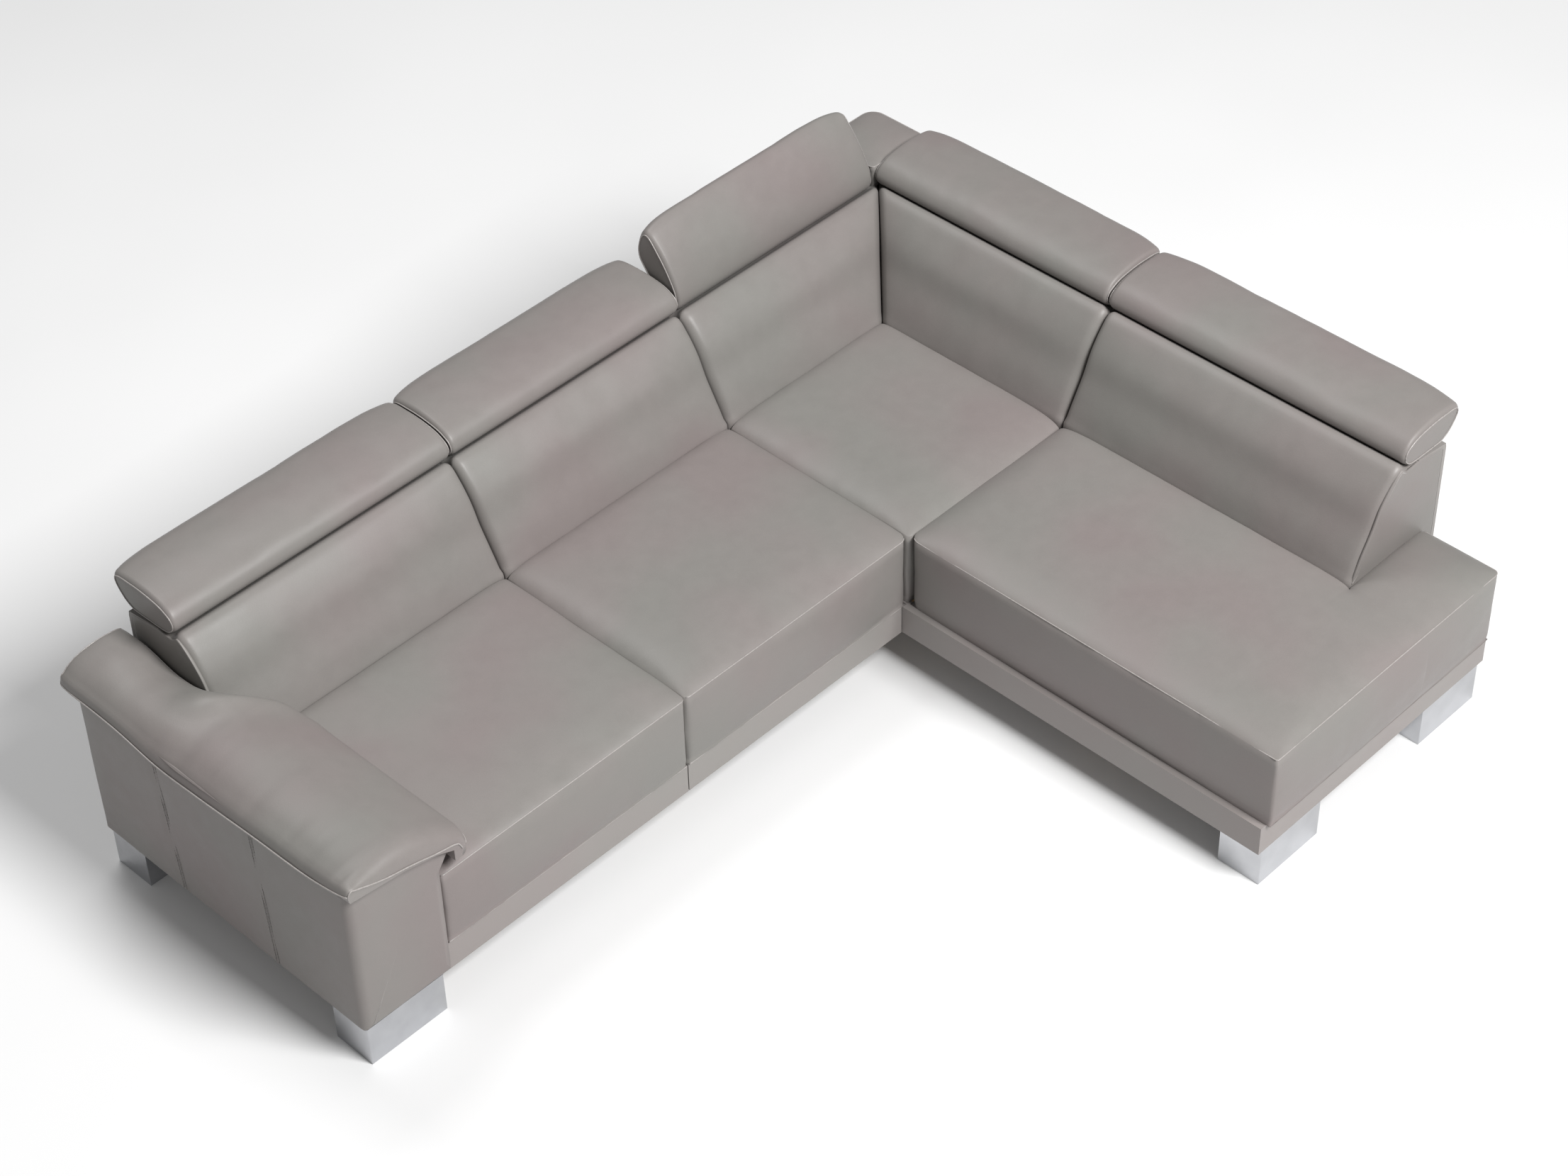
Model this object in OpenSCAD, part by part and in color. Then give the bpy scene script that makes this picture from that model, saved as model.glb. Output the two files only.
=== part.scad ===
// Corner sofa with one arm, an open chaise end and five tilting headrests.
// X runs along the long wing towards the corner, Y points to its back, Z is up.
// The origin is on the floor under the middle of the whole sofa.
// Places are worked out from the inner corner, where the two rows of backs meet at the seat.

/* [Plan] */
// Pitch of one seat of the long wing
seat_pitch = 750; // [600:10:900]
// Width of the corner seat, from the inner corner to its seam
corner_w = 554; // [500:1:640]
// Depth of the seats, from their front to the back cushions
seat_d = 595; // [520:1:680]
// Length of the chaise beyond the front of the corner seat
chaise_l = 1114; // [950:1:1300]
// Length of the chaise's end that has no back
chaise_open = 235; // [180:1:300]
// Width of the arm's body
arm_w = 250; // [220:1:300]
// Gap between neighbouring cushions
seam_gap = 3; // [2:0.5:6]

/* [Heights] */
// Height of the feet
foot_h = 115; // [80:1:160]
// Height of the leather wrapped plinth
plinth_h = 84; // [70:1:110]
// Height of the seats' front panel, from the plinth to its seam
panel_h = 214; // [170:1:240]
// Rise of the seats' crown over that seam
crown_h = 26; // [18:1:35]
// Height of the back cushions above the seats' crown
back_rise = 228; // [210:1:260]
// Rise of the arm's outer edge above the seats' crown
arm_rise = 113; // [106:1:131]

/* [Backs] */
// Lean of the back cushions, from the seat to their top edge
back_lean = 183; // [160:1:190]
// Depth of the back cushions at their top
cushion_d = 232; // [226:1:236]
// Depth of the whole back, to its rear face
back_d = 345; // [340:1:375]
// Wall of the padded rear cover
rear_wall = 12; // [8:1:16]
// Thickness of the back's posts
post_t = 31; // [24:1:34]
// Thickness of the frame's boards
board_t = 30; // [22:1:34]

/* [Headrests] */
// Depth of a headrest in the middle of its length
rest_d = 232; // [215:1:245]
// Thickness of a headrest
rest_t = 85; // [82:1:95]
// Radius of a headrest's front about its hinge
rest_r = 42; // [40:0.5:44]
// Running gap between a lowered headrest and the back
rest_gap = 2.5; // [2:0.5:5]
// Tilt of the headrest that stands raised
raised_angle = 55; // [0:1:60]
// Length by which the corner's headrest passes the inner corner
rest_over = 160; // [100:1:164]
// Distance of the headrests' hinge line behind the seat
hinge_d = 213; // [211:1:215]

/* [Feet] */
// Length of a foot
foot_l = 220; // [160:1:240]
// Width of a foot
foot_w = 118; // [90:1:130]
// Sheet thickness of a foot
foot_wall = 3; // [2:0.5:5]

/* [Hinges] */
// Diameter of the hinge pins
pin_d = 10; // [8:1:12]
// Running clearance round the hinge pins
pin_clear = 0.05; // [0.02:0.01:0.1]
// Thickness of the hinge plates
leaf_t = 4; // [3:0.5:5]
// Width of the hinge plates
leaf_w = 18; // [14:1:20]

/* [Hidden] */
leather = "#99938f";
foam = "#e8dcae";
timber = "#c9a878";
steel = "#8d9094";
chrome = "#d6d8da";
plastic = "#2a2a2c";

// Small clearances: pieces that rest on each other, and foam in its cover
rest_fit = 0.4;
foam_fit = 0.3;

// Levels of the seat and the back
plinth_top = foot_h + plinth_h;
seat_low = plinth_top + rest_fit;
seat_seam = plinth_top + panel_h;
seat_top = seat_seam + crown_h;
back_top = seat_top + back_rise;
arm_h = seat_top + arm_rise;

// Lines of the plan, from the inner corner
seam_bc = -corner_w;
seam_ab = seam_bc - seat_pitch;
arm_in = seam_ab - seat_pitch;
arm_out = arm_in - arm_w;
chaise_front = -(seat_d + chaise_l);
back_end = seat_d + chaise_l - chaise_open;

// Plinth and frame
plinth_inset = 6;
plinth_side = 16;
seat_swell = 14;
seat_set = 2;
chaise_inset = seat_swell + 12;
module_gap = 2;
wall_in = back_d - rear_wall;
frame_d = wall_in - post_t;
chaise_over = 4;
chaise_side = frame_d + chaise_over;
chaise_left = seam_bc - plinth_side;
rail_h = 50;
rail_front = cushion_d + board_t;
rail_top = back_top - 27;
post_w = 60;
end_t = 7;

// Arm: its body, and the soft pillow on it
arm_front = -(seat_d + 3);
arm_back_set = 20;
arm_back = back_d - arm_back_set;
arm_skin = 14;
arm_flare = 31;
arm_top_in = arm_h - 59;
pillow_over = 10;
pillow_front = arm_front - 19;
pillow_back = arm_back + 38;
pillow_reach = 86;
back_over_arm = 62;
back_start = arm_in - back_over_arm;
over_arm = arm_h + 8;

// Headrests: hinge line, spans and inner board
hinge_z = back_top + rest_gap + rest_r;
rest_step = 10;
rest_back = hinge_d - rest_r + rest_d;
rest_seam_ab = seam_ab + rest_step;
rest_seam_bc = seam_bc + rest_step;
rest_seam_de = seat_d - rest_step;
cap_gap = 2;
cap_near = [rest_over + 12, 191];
cap_far = [366, 373];
rest_spans = [
    [back_start, rest_seam_ab - seam_gap / 2],
    [rest_seam_ab + seam_gap / 2, rest_seam_bc - seam_gap / 2],
    [rest_seam_bc + seam_gap / 2, rest_over],
    [cap_gap - cap_near[1], rest_seam_de - seam_gap / 2],
    [rest_seam_de + seam_gap / 2, back_end]
];
hinge_share = 0.2;
board_margin = 40;
rest_board = [30, 145];
rest_board_z = [-5, 7];
knuckle_r = 13;
pin_r = pin_d / 2;
leaf_angle = 310;
leaf_drop = 55;
swing = 60;

// Middle of the whole sofa, which is the origin of the part
mid_x = (arm_out - pillow_over + rest_back) / 2;
mid_y = (chaise_front + rest_back) / 2;

// Moves the plan from the inner corner to the origin
module sofa() {
    translate([-mid_x, -mid_y, 0]) children();
}

// Frame of one wing: x runs along the backs, y is the depth behind the seat
module wing(chaise) {
    sofa() rotate(chaise ? -90 : 0) children();
}

// Box between two opposite corners
module span(low, high) {
    translate(low) cube(high - low);
}

// Prism with its outline in depth and height, between two places along the wing
module wing_prism(outline, x0, x1) {
    translate([x0, 0, 0]) rotate([90, 0, 90]) linear_extrude(x1 - x0) polygon(outline);
}

// Rod along the wing: truly round at 48 sides, and a plain prism at 12 or fewer
true_round = 48;
near_round = 12;
hex = 6;
octagon = 8;
module wing_rod(x0, x1, d, z, r, sides) {
    translate([x0, d, z]) rotate([0, 90, 0]) cylinder(h = x1 - x0, r = r, $fn = sides);
}

function unit(v) = v / norm(v);
function left_of(v) = [-v[1], v[0]];

// Solid skin over a stack of closed rings, each listed anticlockwise as seen from the last one
module ring_solid(rings, low_hub, high_hub) {
    n = len(rings[0]);
    last = len(rings) - 1;
    low = n * len(rings);
    points = concat([for (ring = rings) each ring], [low_hub, high_hub]);
    sides = [
        for (j = [0:last - 1], i = [0:n - 1])
            let (a = j * n + i, b = j * n + (i + 1) % n)
                each [[a, a + n, b + n], [a, b + n, b]]
    ];
    caps = [
        for (i = [0:n - 1])
            let (next = (i + 1) % n)
                each [[low, i, next], [low + 1, last * n + next, last * n + i]]
    ];
    polyhedron(points, concat(sides, caps), convexity = 4);
}

// Corner of a right-angled outline after all its sides are drawn in
function inner_corner(outline, i, inset) =
    let (n = len(outline), here = outline[i % n])
    here + inset * (
        left_of(unit(here - outline[(i + n - 1) % n])) + left_of(unit(outline[(i + 1) % n] - here))
    );

// Ring of a cushion seen from above: drawn in, with round corners, and each side swelling by its own
// share of the bulge between them
function plan_ring(outline, inset, radius, bulge, z, free) = [
    for (i = [0:len(outline) - 1])
        let (
            n = len(outline),
            side_in = left_of(unit(outline[i] - outline[(i + n - 1) % n])),
            along = unit(outline[(i + 1) % n] - outline[i]),
            side_out = left_of(along),
            turn = side_in * along > 0 ? 1 : -1,
            corner = inner_corner(outline, i, inset),
            centre = corner + turn * radius * (side_in + side_out),
            from = corner + radius * along,
            to = inner_corner(outline, i + 1, inset) - radius * along
        )
            each concat(
                [
                    for (k = [0:2])
                        let (p = centre - turn * radius * (side_in * cos(45 * k) + side_out * sin(45 * k)))
                            [p[0], p[1], z]
                ],
                [
                    for (k = [1:3])
                        let (
                            t = k / 4,
                            p = from + (to - from) * t - side_out * bulge * free[i] * 4 * t * (1 - t)
                        )
                            [p[0], p[1], z]
                ]
            )
];

// Rows of a seat cushion from its foot up: draw-in, extra corner radius, share of the swell, height
seat_rows = [
    [7, 0, 0, seat_low],
    [1, 0, 0.3, seat_low + 9],
    [0, 0, 1, seat_low + panel_h * 0.5],
    [0, 0, 0.6, seat_seam - 12],
    [1.5, 0, 0.3, seat_seam],
    [9, 4, 0.2, seat_seam + crown_h * 0.42],
    [26, 8, 0, seat_seam + crown_h * 0.74],
    [70, 8, 0, seat_seam + crown_h * 0.95]
];

// Seat cushion over a plan outline: panels that swell and draw in at the foot, a seam and a crown
module seat_form(outline, radius, free, hub) {
    rings = [
        for (row = seat_rows)
            plan_ring(outline, row[0], radius + row[1], seat_swell * row[2], row[3], free)
    ];
    ring_solid(rings, [hub[0], hub[1], seat_low], [hub[0], hub[1], seat_top]);
}

// Stations along a swept cushion: distance, draw-in of its rounded end, and share of its end
function stations(length, edge) = concat(
    [for (k = [0:3]) [edge * (1 - cos(30 * k)), edge * (1 - sin(30 * k))]],
    [for (k = [1:3]) [length * k / 4, 0]],
    [for (k = [3:-1:0]) [length - edge * (1 - cos(30 * k)), edge * (1 - sin(30 * k))]]
);

// Ring of a swept cushion: each outline row holds depth, height, and how far it draws in and swells
function wing_ring(outline, x, draw, flat, x_per_d) = [
    for (i = [0:len(outline) - 1])
        let (
            n = len(outline),
            row = outline[i],
            before = outline[(i + n - 1) % n],
            after = outline[(i + 1) % n],
            inward = left_of(unit([after[0] - before[0], after[1] - before[1]])),
            p = [row[0], row[1]] + inward * (draw * row[2] + flat * row[3])
        )
            [x + x_per_d * p[0], p[0], p[1]]
];

// Cushion swept along the wing from x0 to x1, whose ends may lean back with its depth as mitres
module swept_form(outline, x0, x1, edge, swell, mitre_low, mitre_high) {
    length = x1 - x0;
    rings = [
        for (s = stations(length, edge))
            let (
                share = s[0] / length,
                end = pow(2 * share - 1, 2),
                lean = mitre_high * share - mitre_low * (1 - share)
            )
                wing_ring(outline, x0 + s[0], s[1], swell * end, lean)
    ];
    first = rings[0];
    final = rings[len(rings) - 1];
    ring_solid(rings, hub_of(first), hub_of(final));
}

// Middle of a ring
function hub_of(ring) = [for (k = [0:2]) ([for (p = ring) 1] * [for (p = ring) p[k]]) / len(ring)];

// Feet: open sheet boxes with a plastic glide below and a stud above
foot_glide_t = 4;
glide_proud = 1;
stud_r = 4;
foot_side = 12;
foot_set = 17;
foot_lip = 3;
foot_spots = [
    [arm_out + foot_side, -(seat_d - plinth_inset)],
    [arm_out + foot_side, arm_back - foot_set - foot_w],
    [chaise_left + foot_set, chaise_front + chaise_inset + foot_lip],
    [frame_d - foot_set - foot_l, chaise_front + chaise_inset + foot_lip],
    [frame_d - foot_set - foot_l, arm_back - foot_set - foot_w]
];
module foot_at(spot) {
    color(chrome) sofa() translate([spot[0], spot[1], 0]) difference() {
        span([0, 0, glide_proud], [foot_l, foot_w, foot_h]);
        span([foot_wall, foot_wall, 0], [foot_l - foot_wall, foot_w - foot_wall, foot_h - foot_wall]);
        translate([foot_l / 2, foot_w / 2, 0]) cylinder(h = foot_h + 1, r = stud_r, $fn = hex);
    }
}
module foot_arm_front() {
    foot_at(foot_spots[0]);
}
module foot_arm_back() {
    foot_at(foot_spots[1]);
}
module foot_chaise_inner() {
    foot_at(foot_spots[2]);
}
module foot_chaise_outer() {
    foot_at(foot_spots[3]);
}
module foot_corner_back() {
    foot_at(foot_spots[4]);
}
module foot_glides() {
    color(plastic) sofa() for (spot = foot_spots) translate([spot[0], spot[1], 0])
        span([foot_wall, foot_wall, 0], [foot_l - foot_wall, foot_w - foot_wall, foot_glide_t]);
}

// Threaded studs that hold the feet: a nut below the foot's top, the stud up into the frame
stud_up = 26;
nut_h = 6;
nut_r = 7;
module foot_studs() {
    color(steel) sofa() for (spot = foot_spots) translate([spot[0] + foot_l / 2, spot[1] + foot_w / 2, 0]) {
        translate([0, 0, foot_h - foot_wall - nut_h]) cylinder(h = nut_h, r = nut_r, $fn = hex);
        translate([0, 0, foot_h - foot_wall]) cylinder(h = foot_wall + stud_up, r = stud_r, $fn = hex);
    }
}

// Plain legs under the boards, out of sight behind the feet
leg_r = 24;
leg_set = 170;
leg_back = frame_d - board_t - leg_r;
leg_spots = [
    [seam_ab, -seat_d + leg_set],
    [seam_ab, leg_back],
    [chaise_left - module_gap - board_t / 2, leg_back],
    [chaise_left + board_t / 2, -seat_d + leg_set],
    [frame_d - leg_r, -seat_d + leg_r]
];
module support_legs() {
    color(plastic) sofa() for (spot = leg_spots) translate([spot[0], spot[1], 0])
        cylinder(h = foot_h, r = leg_r, $fn = near_round);
}

// Plinth boards, wrapped in leather
module plinth_board(low, high) {
    color(leather) sofa() span([low[0], low[1], foot_h], [high[0], high[1], plinth_top]);
}
plinth_front = -(seat_d - plinth_inset);
arm_gap = 6;
module plinth_front_a() {
    plinth_board([arm_in + arm_gap, plinth_front], [seam_ab - seam_gap / 2, plinth_front + board_t]);
}
module plinth_front_b() {
    plinth_board([seam_ab + seam_gap / 2, plinth_front], [chaise_left - module_gap, plinth_front + board_t]);
}
module plinth_back() {
    plinth_board([arm_in + rest_fit, frame_d - board_t], [chaise_left - module_gap, frame_d]);
    plinth_board([chaise_left, frame_d - board_t], [frame_d, frame_d]);
}
module plinth_chaise_left() {
    plinth_board([chaise_left, chaise_front + chaise_inset], [chaise_left + board_t, frame_d - board_t]);
}
module plinth_chaise_front() {
    y0 = chaise_front + chaise_inset;
    plinth_board([chaise_left + board_t, y0], [frame_d - board_t, y0 + board_t]);
}
module plinth_chaise_right() {
    plinth_board([frame_d - board_t, chaise_front + chaise_inset], [frame_d, frame_d - board_t]);
}

// Cross rails: three from front to back in the long wing, three from side to side in the chaise,
// and the blocks over the feet of the chaise and the corner
long_rails = [arm_in + rest_fit + board_t / 2, seam_ab, chaise_left - module_gap - board_t / 2];
chaise_rails = [-seat_d, -seat_d - chaise_l / 2, 0];
bolt_r = 4;
bolt_set = [120, 150];
bolt_spots = [-seat_d + bolt_set[0], frame_d - bolt_set[1]];
module cross_rails() {
    color(timber) sofa() {
        for (x = long_rails) difference() {
            span(
                [x - board_t / 2, plinth_front + board_t, foot_h],
                [x + board_t / 2, frame_d - board_t, plinth_top]
            );
            for (y = bolt_spots) if (x == long_rails[0])
                translate([0, y, bolt_z]) wing_rod(x - board_t, x + board_t, 0, 0, bolt_r, hex);
        }
        for (y = chaise_rails)
            span(
                [chaise_left + board_t, y - board_t / 2, foot_h],
                [frame_d - board_t, y + board_t / 2, plinth_top]
            );
        foot_block(foot_spots[2], block_front);
        foot_block(foot_spots[3], block_front);
        foot_block(foot_spots[4], frame_d - board_t - block_w);
    }
}
block_w = 70;
block_h = 40;
block_front = chaise_front + chaise_inset + board_t;
module foot_block(spot, y0) {
    x = spot[0] + foot_l / 2;
    difference() {
        span([x - block_w / 2, y0, foot_h], [x + block_w / 2, y0 + block_w, foot_h + block_h]);
        translate([x, spot[1] + foot_w / 2, 0])
            cylinder(h = foot_h + stud_up, r = stud_r, $fn = hex);
    }
}

// Zigzag seat springs, laid level with the top of the plinth boards
wire = 4;
spring_w = 40;
spring_step = 60;
spring_pitch = 190;
function zigzag(length) =
    let (bends = 2 * round(length / spring_step / 2))
    [for (k = [0:bends]) [(k % 2 == 0 ? -0.5 : 0.5) * spring_w, k * length / bends]];
module spring(length) {
    path = zigzag(length);
    back = [for (k = [len(path) - 1:-1:0]) path[k] - [wire * 1.5, 0]];
    linear_extrude(wire) polygon(concat(path, back));
}
module spring_row(x0, x1, y0, y1) {
    count = floor((x1 - x0 - spring_w) / spring_pitch);
    step = (x1 - x0) / (count + 1);
    for (k = [1:count]) translate([x0 + k * step, y0, plinth_top - wire]) spring(y1 - y0);
}
module seat_springs() {
    y0 = plinth_front + board_t;
    y1 = frame_d - board_t;
    x0 = chaise_left + board_t;
    x1 = frame_d - board_t;
    rails = [chaise_front + chaise_inset + board_t, chaise_rails[1], chaise_rails[0], chaise_rails[2], y1];
    color(steel) sofa() {
        for (k = [0, 1]) spring_row(long_rails[k] + board_t / 2, long_rails[k + 1] - board_t / 2, y0, y1);
        for (k = [0:3]) rotate(-90)
            spring_row(
                -rails[k + 1] + (k < 3 ? board_t / 2 : 0),
                -rails[k] - (k > 0 ? board_t / 2 : 0),
                x0, x1
            );
    }
}

// Steel straps with raised heads that hook the two modules together under their boards
hook_l = 90;
hook_w = 40;
hook_t = 3;
hook_pin_r = 7;
hook_set = [260, 180];
hook_places = [-seat_d + hook_set[0], frame_d - hook_set[1]];
module module_hooks() {
    color(steel) sofa() for (y = hook_places) translate([chaise_left - module_gap / 2, y, foot_h - hook_t]) {
        span([-hook_l / 2, -hook_w / 2, 0], [hook_l / 2, hook_w / 2, hook_t]);
        for (x = [-hook_l / 4, hook_l / 4]) translate([x, 0, -hook_t])
            cylinder(h = hook_t, r = hook_pin_r, $fn = near_round);
    }
}

// Seat cushions: leather over wadding, with a foam core in a cavity
cushion_fit = 0.6;
foam_side = 42;
foam_low = 26;
function box_plan(low, high) = [low, [high[0], low[1]], high, [low[0], high[1]]];
function middle(low, high) = (low + high) / 2;
module seat_block(low, high, spare) {
    span(
        [low[0] + foam_side - spare, low[1] + foam_side - spare, seat_low + foam_low - spare],
        [high[0] - foam_side + spare, high[1] - foam_side + spare, seat_seam - foam_low + spare]
    );
}
module seat_cushion(low, high, radius, free) {
    color(leather) sofa() difference() {
        seat_form(box_plan(low, high), radius, free, middle(low, high));
        seat_block(low, high, foam_fit);
    }
}
module seat_foam(low, high) {
    color(foam) sofa() seat_block(low, high, 0);
}
seat_back = -cushion_fit;
seat_radius = 12;
tight_radius = 8;
front_free = [1, 0, 0, 0];
no_free = [0, 0, 0, 0];
seat_a = [[arm_in + arm_gap, -seat_d + seat_set], [seam_ab - seam_gap / 2, seat_back]];
seat_b = [[seam_ab + seam_gap / 2, -seat_d + seat_set], [seam_bc - seam_gap / 2, seat_back]];
seat_c = [[seam_bc + seam_gap / 2, -seat_d + seam_gap / 2], [seat_back, seat_back]];
module seat_cushion_a() {
    seat_cushion(seat_a[0], seat_a[1], seat_radius, front_free);
}
module seat_cushion_b() {
    seat_cushion(seat_b[0], seat_b[1], seat_radius, front_free);
}
module seat_cushion_corner() {
    seat_cushion(seat_c[0], seat_c[1], tight_radius, no_free);
}
module seat_foam_a() {
    seat_foam(seat_a[0], seat_a[1]);
}
module seat_foam_b() {
    seat_foam(seat_b[0], seat_b[1]);
}
module seat_foam_corner() {
    seat_foam(seat_c[0], seat_c[1]);
}

// The chaise cushion turns round the end of the backs, so its plan is an L
chaise_low = [seam_bc + seam_gap / 2, chaise_front + seat_swell];
chaise_knee = [seat_back, -back_end - seam_gap];
chaise_high = [chaise_side - seat_swell, -seat_d - seam_gap / 2];
chaise_free = [1, 1, 0, 0, 0, 0.3];
chaise_plan = [
    chaise_low,
    [chaise_high[0], chaise_low[1]],
    [chaise_high[0], chaise_knee[1]],
    chaise_knee,
    [chaise_knee[0], chaise_high[1]],
    [chaise_low[0], chaise_high[1]]
];
module chaise_block(spare) {
    seat_block(chaise_low, [chaise_knee[0], chaise_high[1]], spare);
    seat_block([chaise_knee[0] - 2 * foam_side, chaise_low[1]], [chaise_high[0], chaise_knee[1]], spare);
}
module seat_cushion_chaise() {
    color(leather) sofa() difference() {
        seat_form(chaise_plan, tight_radius, chaise_free, middle(chaise_low, chaise_knee));
        chaise_block(foam_fit);
    }
}
module seat_foam_chaise() {
    color(foam) sofa() chaise_block(0);
}

// Section of a back cushion, anticlockwise: depth, height, and how far it draws in and swells; its brow
// lists how far the upper edge sets forward and falls as it rounds
crease = cushion_fit;
back_foot = crease + 5;
brow = [[0, 0, 0], [24, 6, 0], [46, 18, 0.3], [70, 38, 0.7], [96, 68, 1]];
back_section = [
    [back_foot, seat_low, 0, 0],
    [cushion_d, seat_low, 0, 0],
    [cushion_d, back_top, 0, 0],
    for (step = brow) [back_lean - step[0], back_top - step[1], 1, step[2]],
    [back_lean * 0.33, seat_top + back_rise * 0.48, 1, 1],
    [back_lean * 0.16, seat_top + back_rise * 0.24, 1, 1],
    [back_foot, seat_top + 6, 1, 0.5],
    [crease, seat_top - crown_h, 0.4, 0]
];
// Section of the foam in it
foam_wall = 26;
back_foam_section = [
    [foam_wall + 16, seat_low + foam_wall],
    [cushion_d - foam_wall / 2, seat_low + foam_wall],
    [cushion_d - foam_wall / 2, back_top - foam_wall - 8],
    [back_lean, back_top - foam_wall - 8],
    [back_lean - 30, back_top - foam_wall - 30],
    [back_lean * 0.33 + foam_wall + 10, seat_top + back_rise * 0.42],
    [foam_wall + 16, seat_top]
];
module back_cushion(x0, x1, mitre_low, mitre_high) {
    swept_form(back_section, x0, x1, 14, 7, mitre_low, mitre_high);
}
module back_foam(x0, x1, spare) {
    grown = [
        for (i = [0:len(back_foam_section) - 1])
            let (
                n = len(back_foam_section),
                before = back_foam_section[(i + n - 1) % n],
                after = back_foam_section[(i + 1) % n]
            )
                back_foam_section[i] - left_of(unit(after - before)) * spare
    ];
    wing_prism(grown, x0 + foam_side - spare, x1 - foam_side + spare);
}
// Wing, low end, high end and mitred ends of each back cushion
mitre_gap = seam_gap / 2;
back_rows = [
    [false, back_start, seam_ab - seam_gap / 2, 0, 0],
    [false, seam_ab + seam_gap / 2, seam_bc - seam_gap / 2, 0, 0],
    [false, seam_bc + seam_gap / 2, -mitre_gap, 0, 1],
    [true, mitre_gap, seat_d - seam_gap / 2, 1, 0],
    [true, seat_d + seam_gap / 2, back_end, 0, 0]
];
foam_starts = [arm_in + 20, back_rows[1][1], back_rows[2][1], back_rows[3][1], back_rows[4][1]];
module back_cushion_at(k) {
    row = back_rows[k];
    color(leather) wing(row[0]) difference() {
        back_cushion(row[1], row[2], row[3], row[4]);
        back_foam(foam_starts[k], row[2], foam_fit);
        if (k == 0) room_over_arm();
    }
}
module back_cushion_a() {
    back_cushion_at(0);
}
module back_cushion_b() {
    back_cushion_at(1);
}
module back_cushion_c() {
    back_cushion_at(2);
}
module back_cushion_d() {
    back_cushion_at(3);
}
module back_cushion_e() {
    back_cushion_at(4);
}
module back_foams() {
    color(foam) for (k = [0:4]) wing(back_rows[k][0]) back_foam(foam_starts[k], back_rows[k][2], 0);
}

// Back frame: posts behind the plinth boards and rails on top of them
post_low = foot_h + 2;
post_places = [[arm_in + arm_flare + post_w / 2 + 2, seam_ab, seam_bc], [seat_d, back_end - post_w]];
module back_posts() {
    color(timber) for (chaise = [0, 1]) wing(chaise == 1) for (x = post_places[chaise])
        span([x - post_w / 2, frame_d + rest_fit, post_low], [x + post_w / 2, wall_in, rail_top - rail_h]);
    color(timber) sofa()
        span([frame_d - post_w, frame_d + rest_fit, post_low], [wall_in, wall_in, rail_top - rail_h]);
}
screw_r = 2.5;
screw_l = 28;
screw_head = 2;
flange_screws = [-13, 13];
function hinge_places(k) =
    let (a = rest_spans[k][0], l = rest_spans[k][1] - a)
    [a + l * hinge_share, a + l * (1 - hinge_share)];
module screw_holes(k) {
    for (x = hinge_places(k), s = flange_screws)
        translate([x + s, rail_front + screw_l, screw_z]) rotate([90, 0, 0])
            cylinder(h = screw_l + 1, r = screw_r, $fn = hex);
}
module back_rail_long() {
    color(timber) wing(false) difference() {
        span([back_start + end_t, rail_front, rail_top - rail_h], [wall_in, wall_in, rail_top]);
        for (k = [0:2]) screw_holes(k);
    }
}
module back_rail_chaise() {
    color(timber) wing(true) difference() {
        span([rest_fit - rail_front, rail_front, rail_top - rail_h], [back_end - end_t, wall_in, rail_top]);
        for (k = [3, 4]) screw_holes(k);
    }
}

// Rear covers: a padded wall and the strip over the top of the back, slotted for the hinge plates
strip_edge = cushion_d + 1;
strip_fall = 3;
strip_under = back_top - rear_wall;
cover_low = foot_h + 1;
rear_section = [
    [wall_in, cover_low],
    [back_d, cover_low],
    [back_d, rail_top],
    [back_d - 3, rail_top + 13],
    [rail_front, back_top - strip_fall],
    [strip_edge, back_top],
    [strip_edge, strip_under],
    [rail_front, strip_under - strip_fall],
    [wall_in, rail_top + rest_fit]
];
slot_side = 3;
module leaf_slots(k) {
    for (x = hinge_places(k))
        span(
            [x - leaf_t / 2 - slot_side, strip_edge - 1, back_top - 40],
            [x + leaf_t / 2 + slot_side, rail_front + 4, back_top + 1]
        );
}
module rear_cover_long() {
    color(leather) wing(false) difference() {
        wing_prism(rear_section, back_start, back_d);
        for (k = [0:2]) leaf_slots(k);
        span([back_start - 1, wall_in - 1, 0], [arm_in + 2, back_d + 1, over_arm]);
        span([strip_edge - 1, strip_edge - 1, foot_h], [back_d + 1, wall_in, back_top + 1]);
    }
}
module rear_cover_chaise() {
    color(leather) wing(true) difference() {
        wing_prism(rear_section, rest_fit - wall_in, back_end);
        for (k = [3, 4]) leaf_slots(k);
    }
}
// Leather panels on the two open ends of the back, between the cushion and the rear cover
function end_section(low) = [
    [strip_edge, low],
    [wall_in - rest_fit, low],
    [wall_in - rest_fit, rail_top - 2],
    [rail_front, strip_under - strip_fall - 1],
    [strip_edge, strip_under - 1]
];
module back_end_panels() {
    color(leather) wing(false)
        wing_prism(end_section(over_arm), back_start, back_start + end_t - rest_fit);
    color(leather) wing(true)
        wing_prism(end_section(seat_low), back_end - end_t + rest_fit, back_end);
}

// Padded block that closes the corner behind the two headrests: draw-in, swell and height of its rows
cap_radius = 14;
cap_free = [0, 1, 1, 0];
cap_rise = 82;
cap_rows = [[8, 0, 0], [1, 2, 10], [0, 4, 40], [3, 3, 62], [14, 1, 74], [40, 0, 80]];
module corner_cap() {
    plan = box_plan(cap_near, cap_far);
    low = back_top + rest_fit;
    rings = [for (row = cap_rows) plan_ring(plan, row[0], cap_radius, row[1], low + row[2], cap_free)];
    hub = middle(cap_near, cap_far);
    color(leather) sofa() ring_solid(rings, [hub[0], hub[1], low], [hub[0], hub[1], low + cap_rise]);
}

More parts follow.
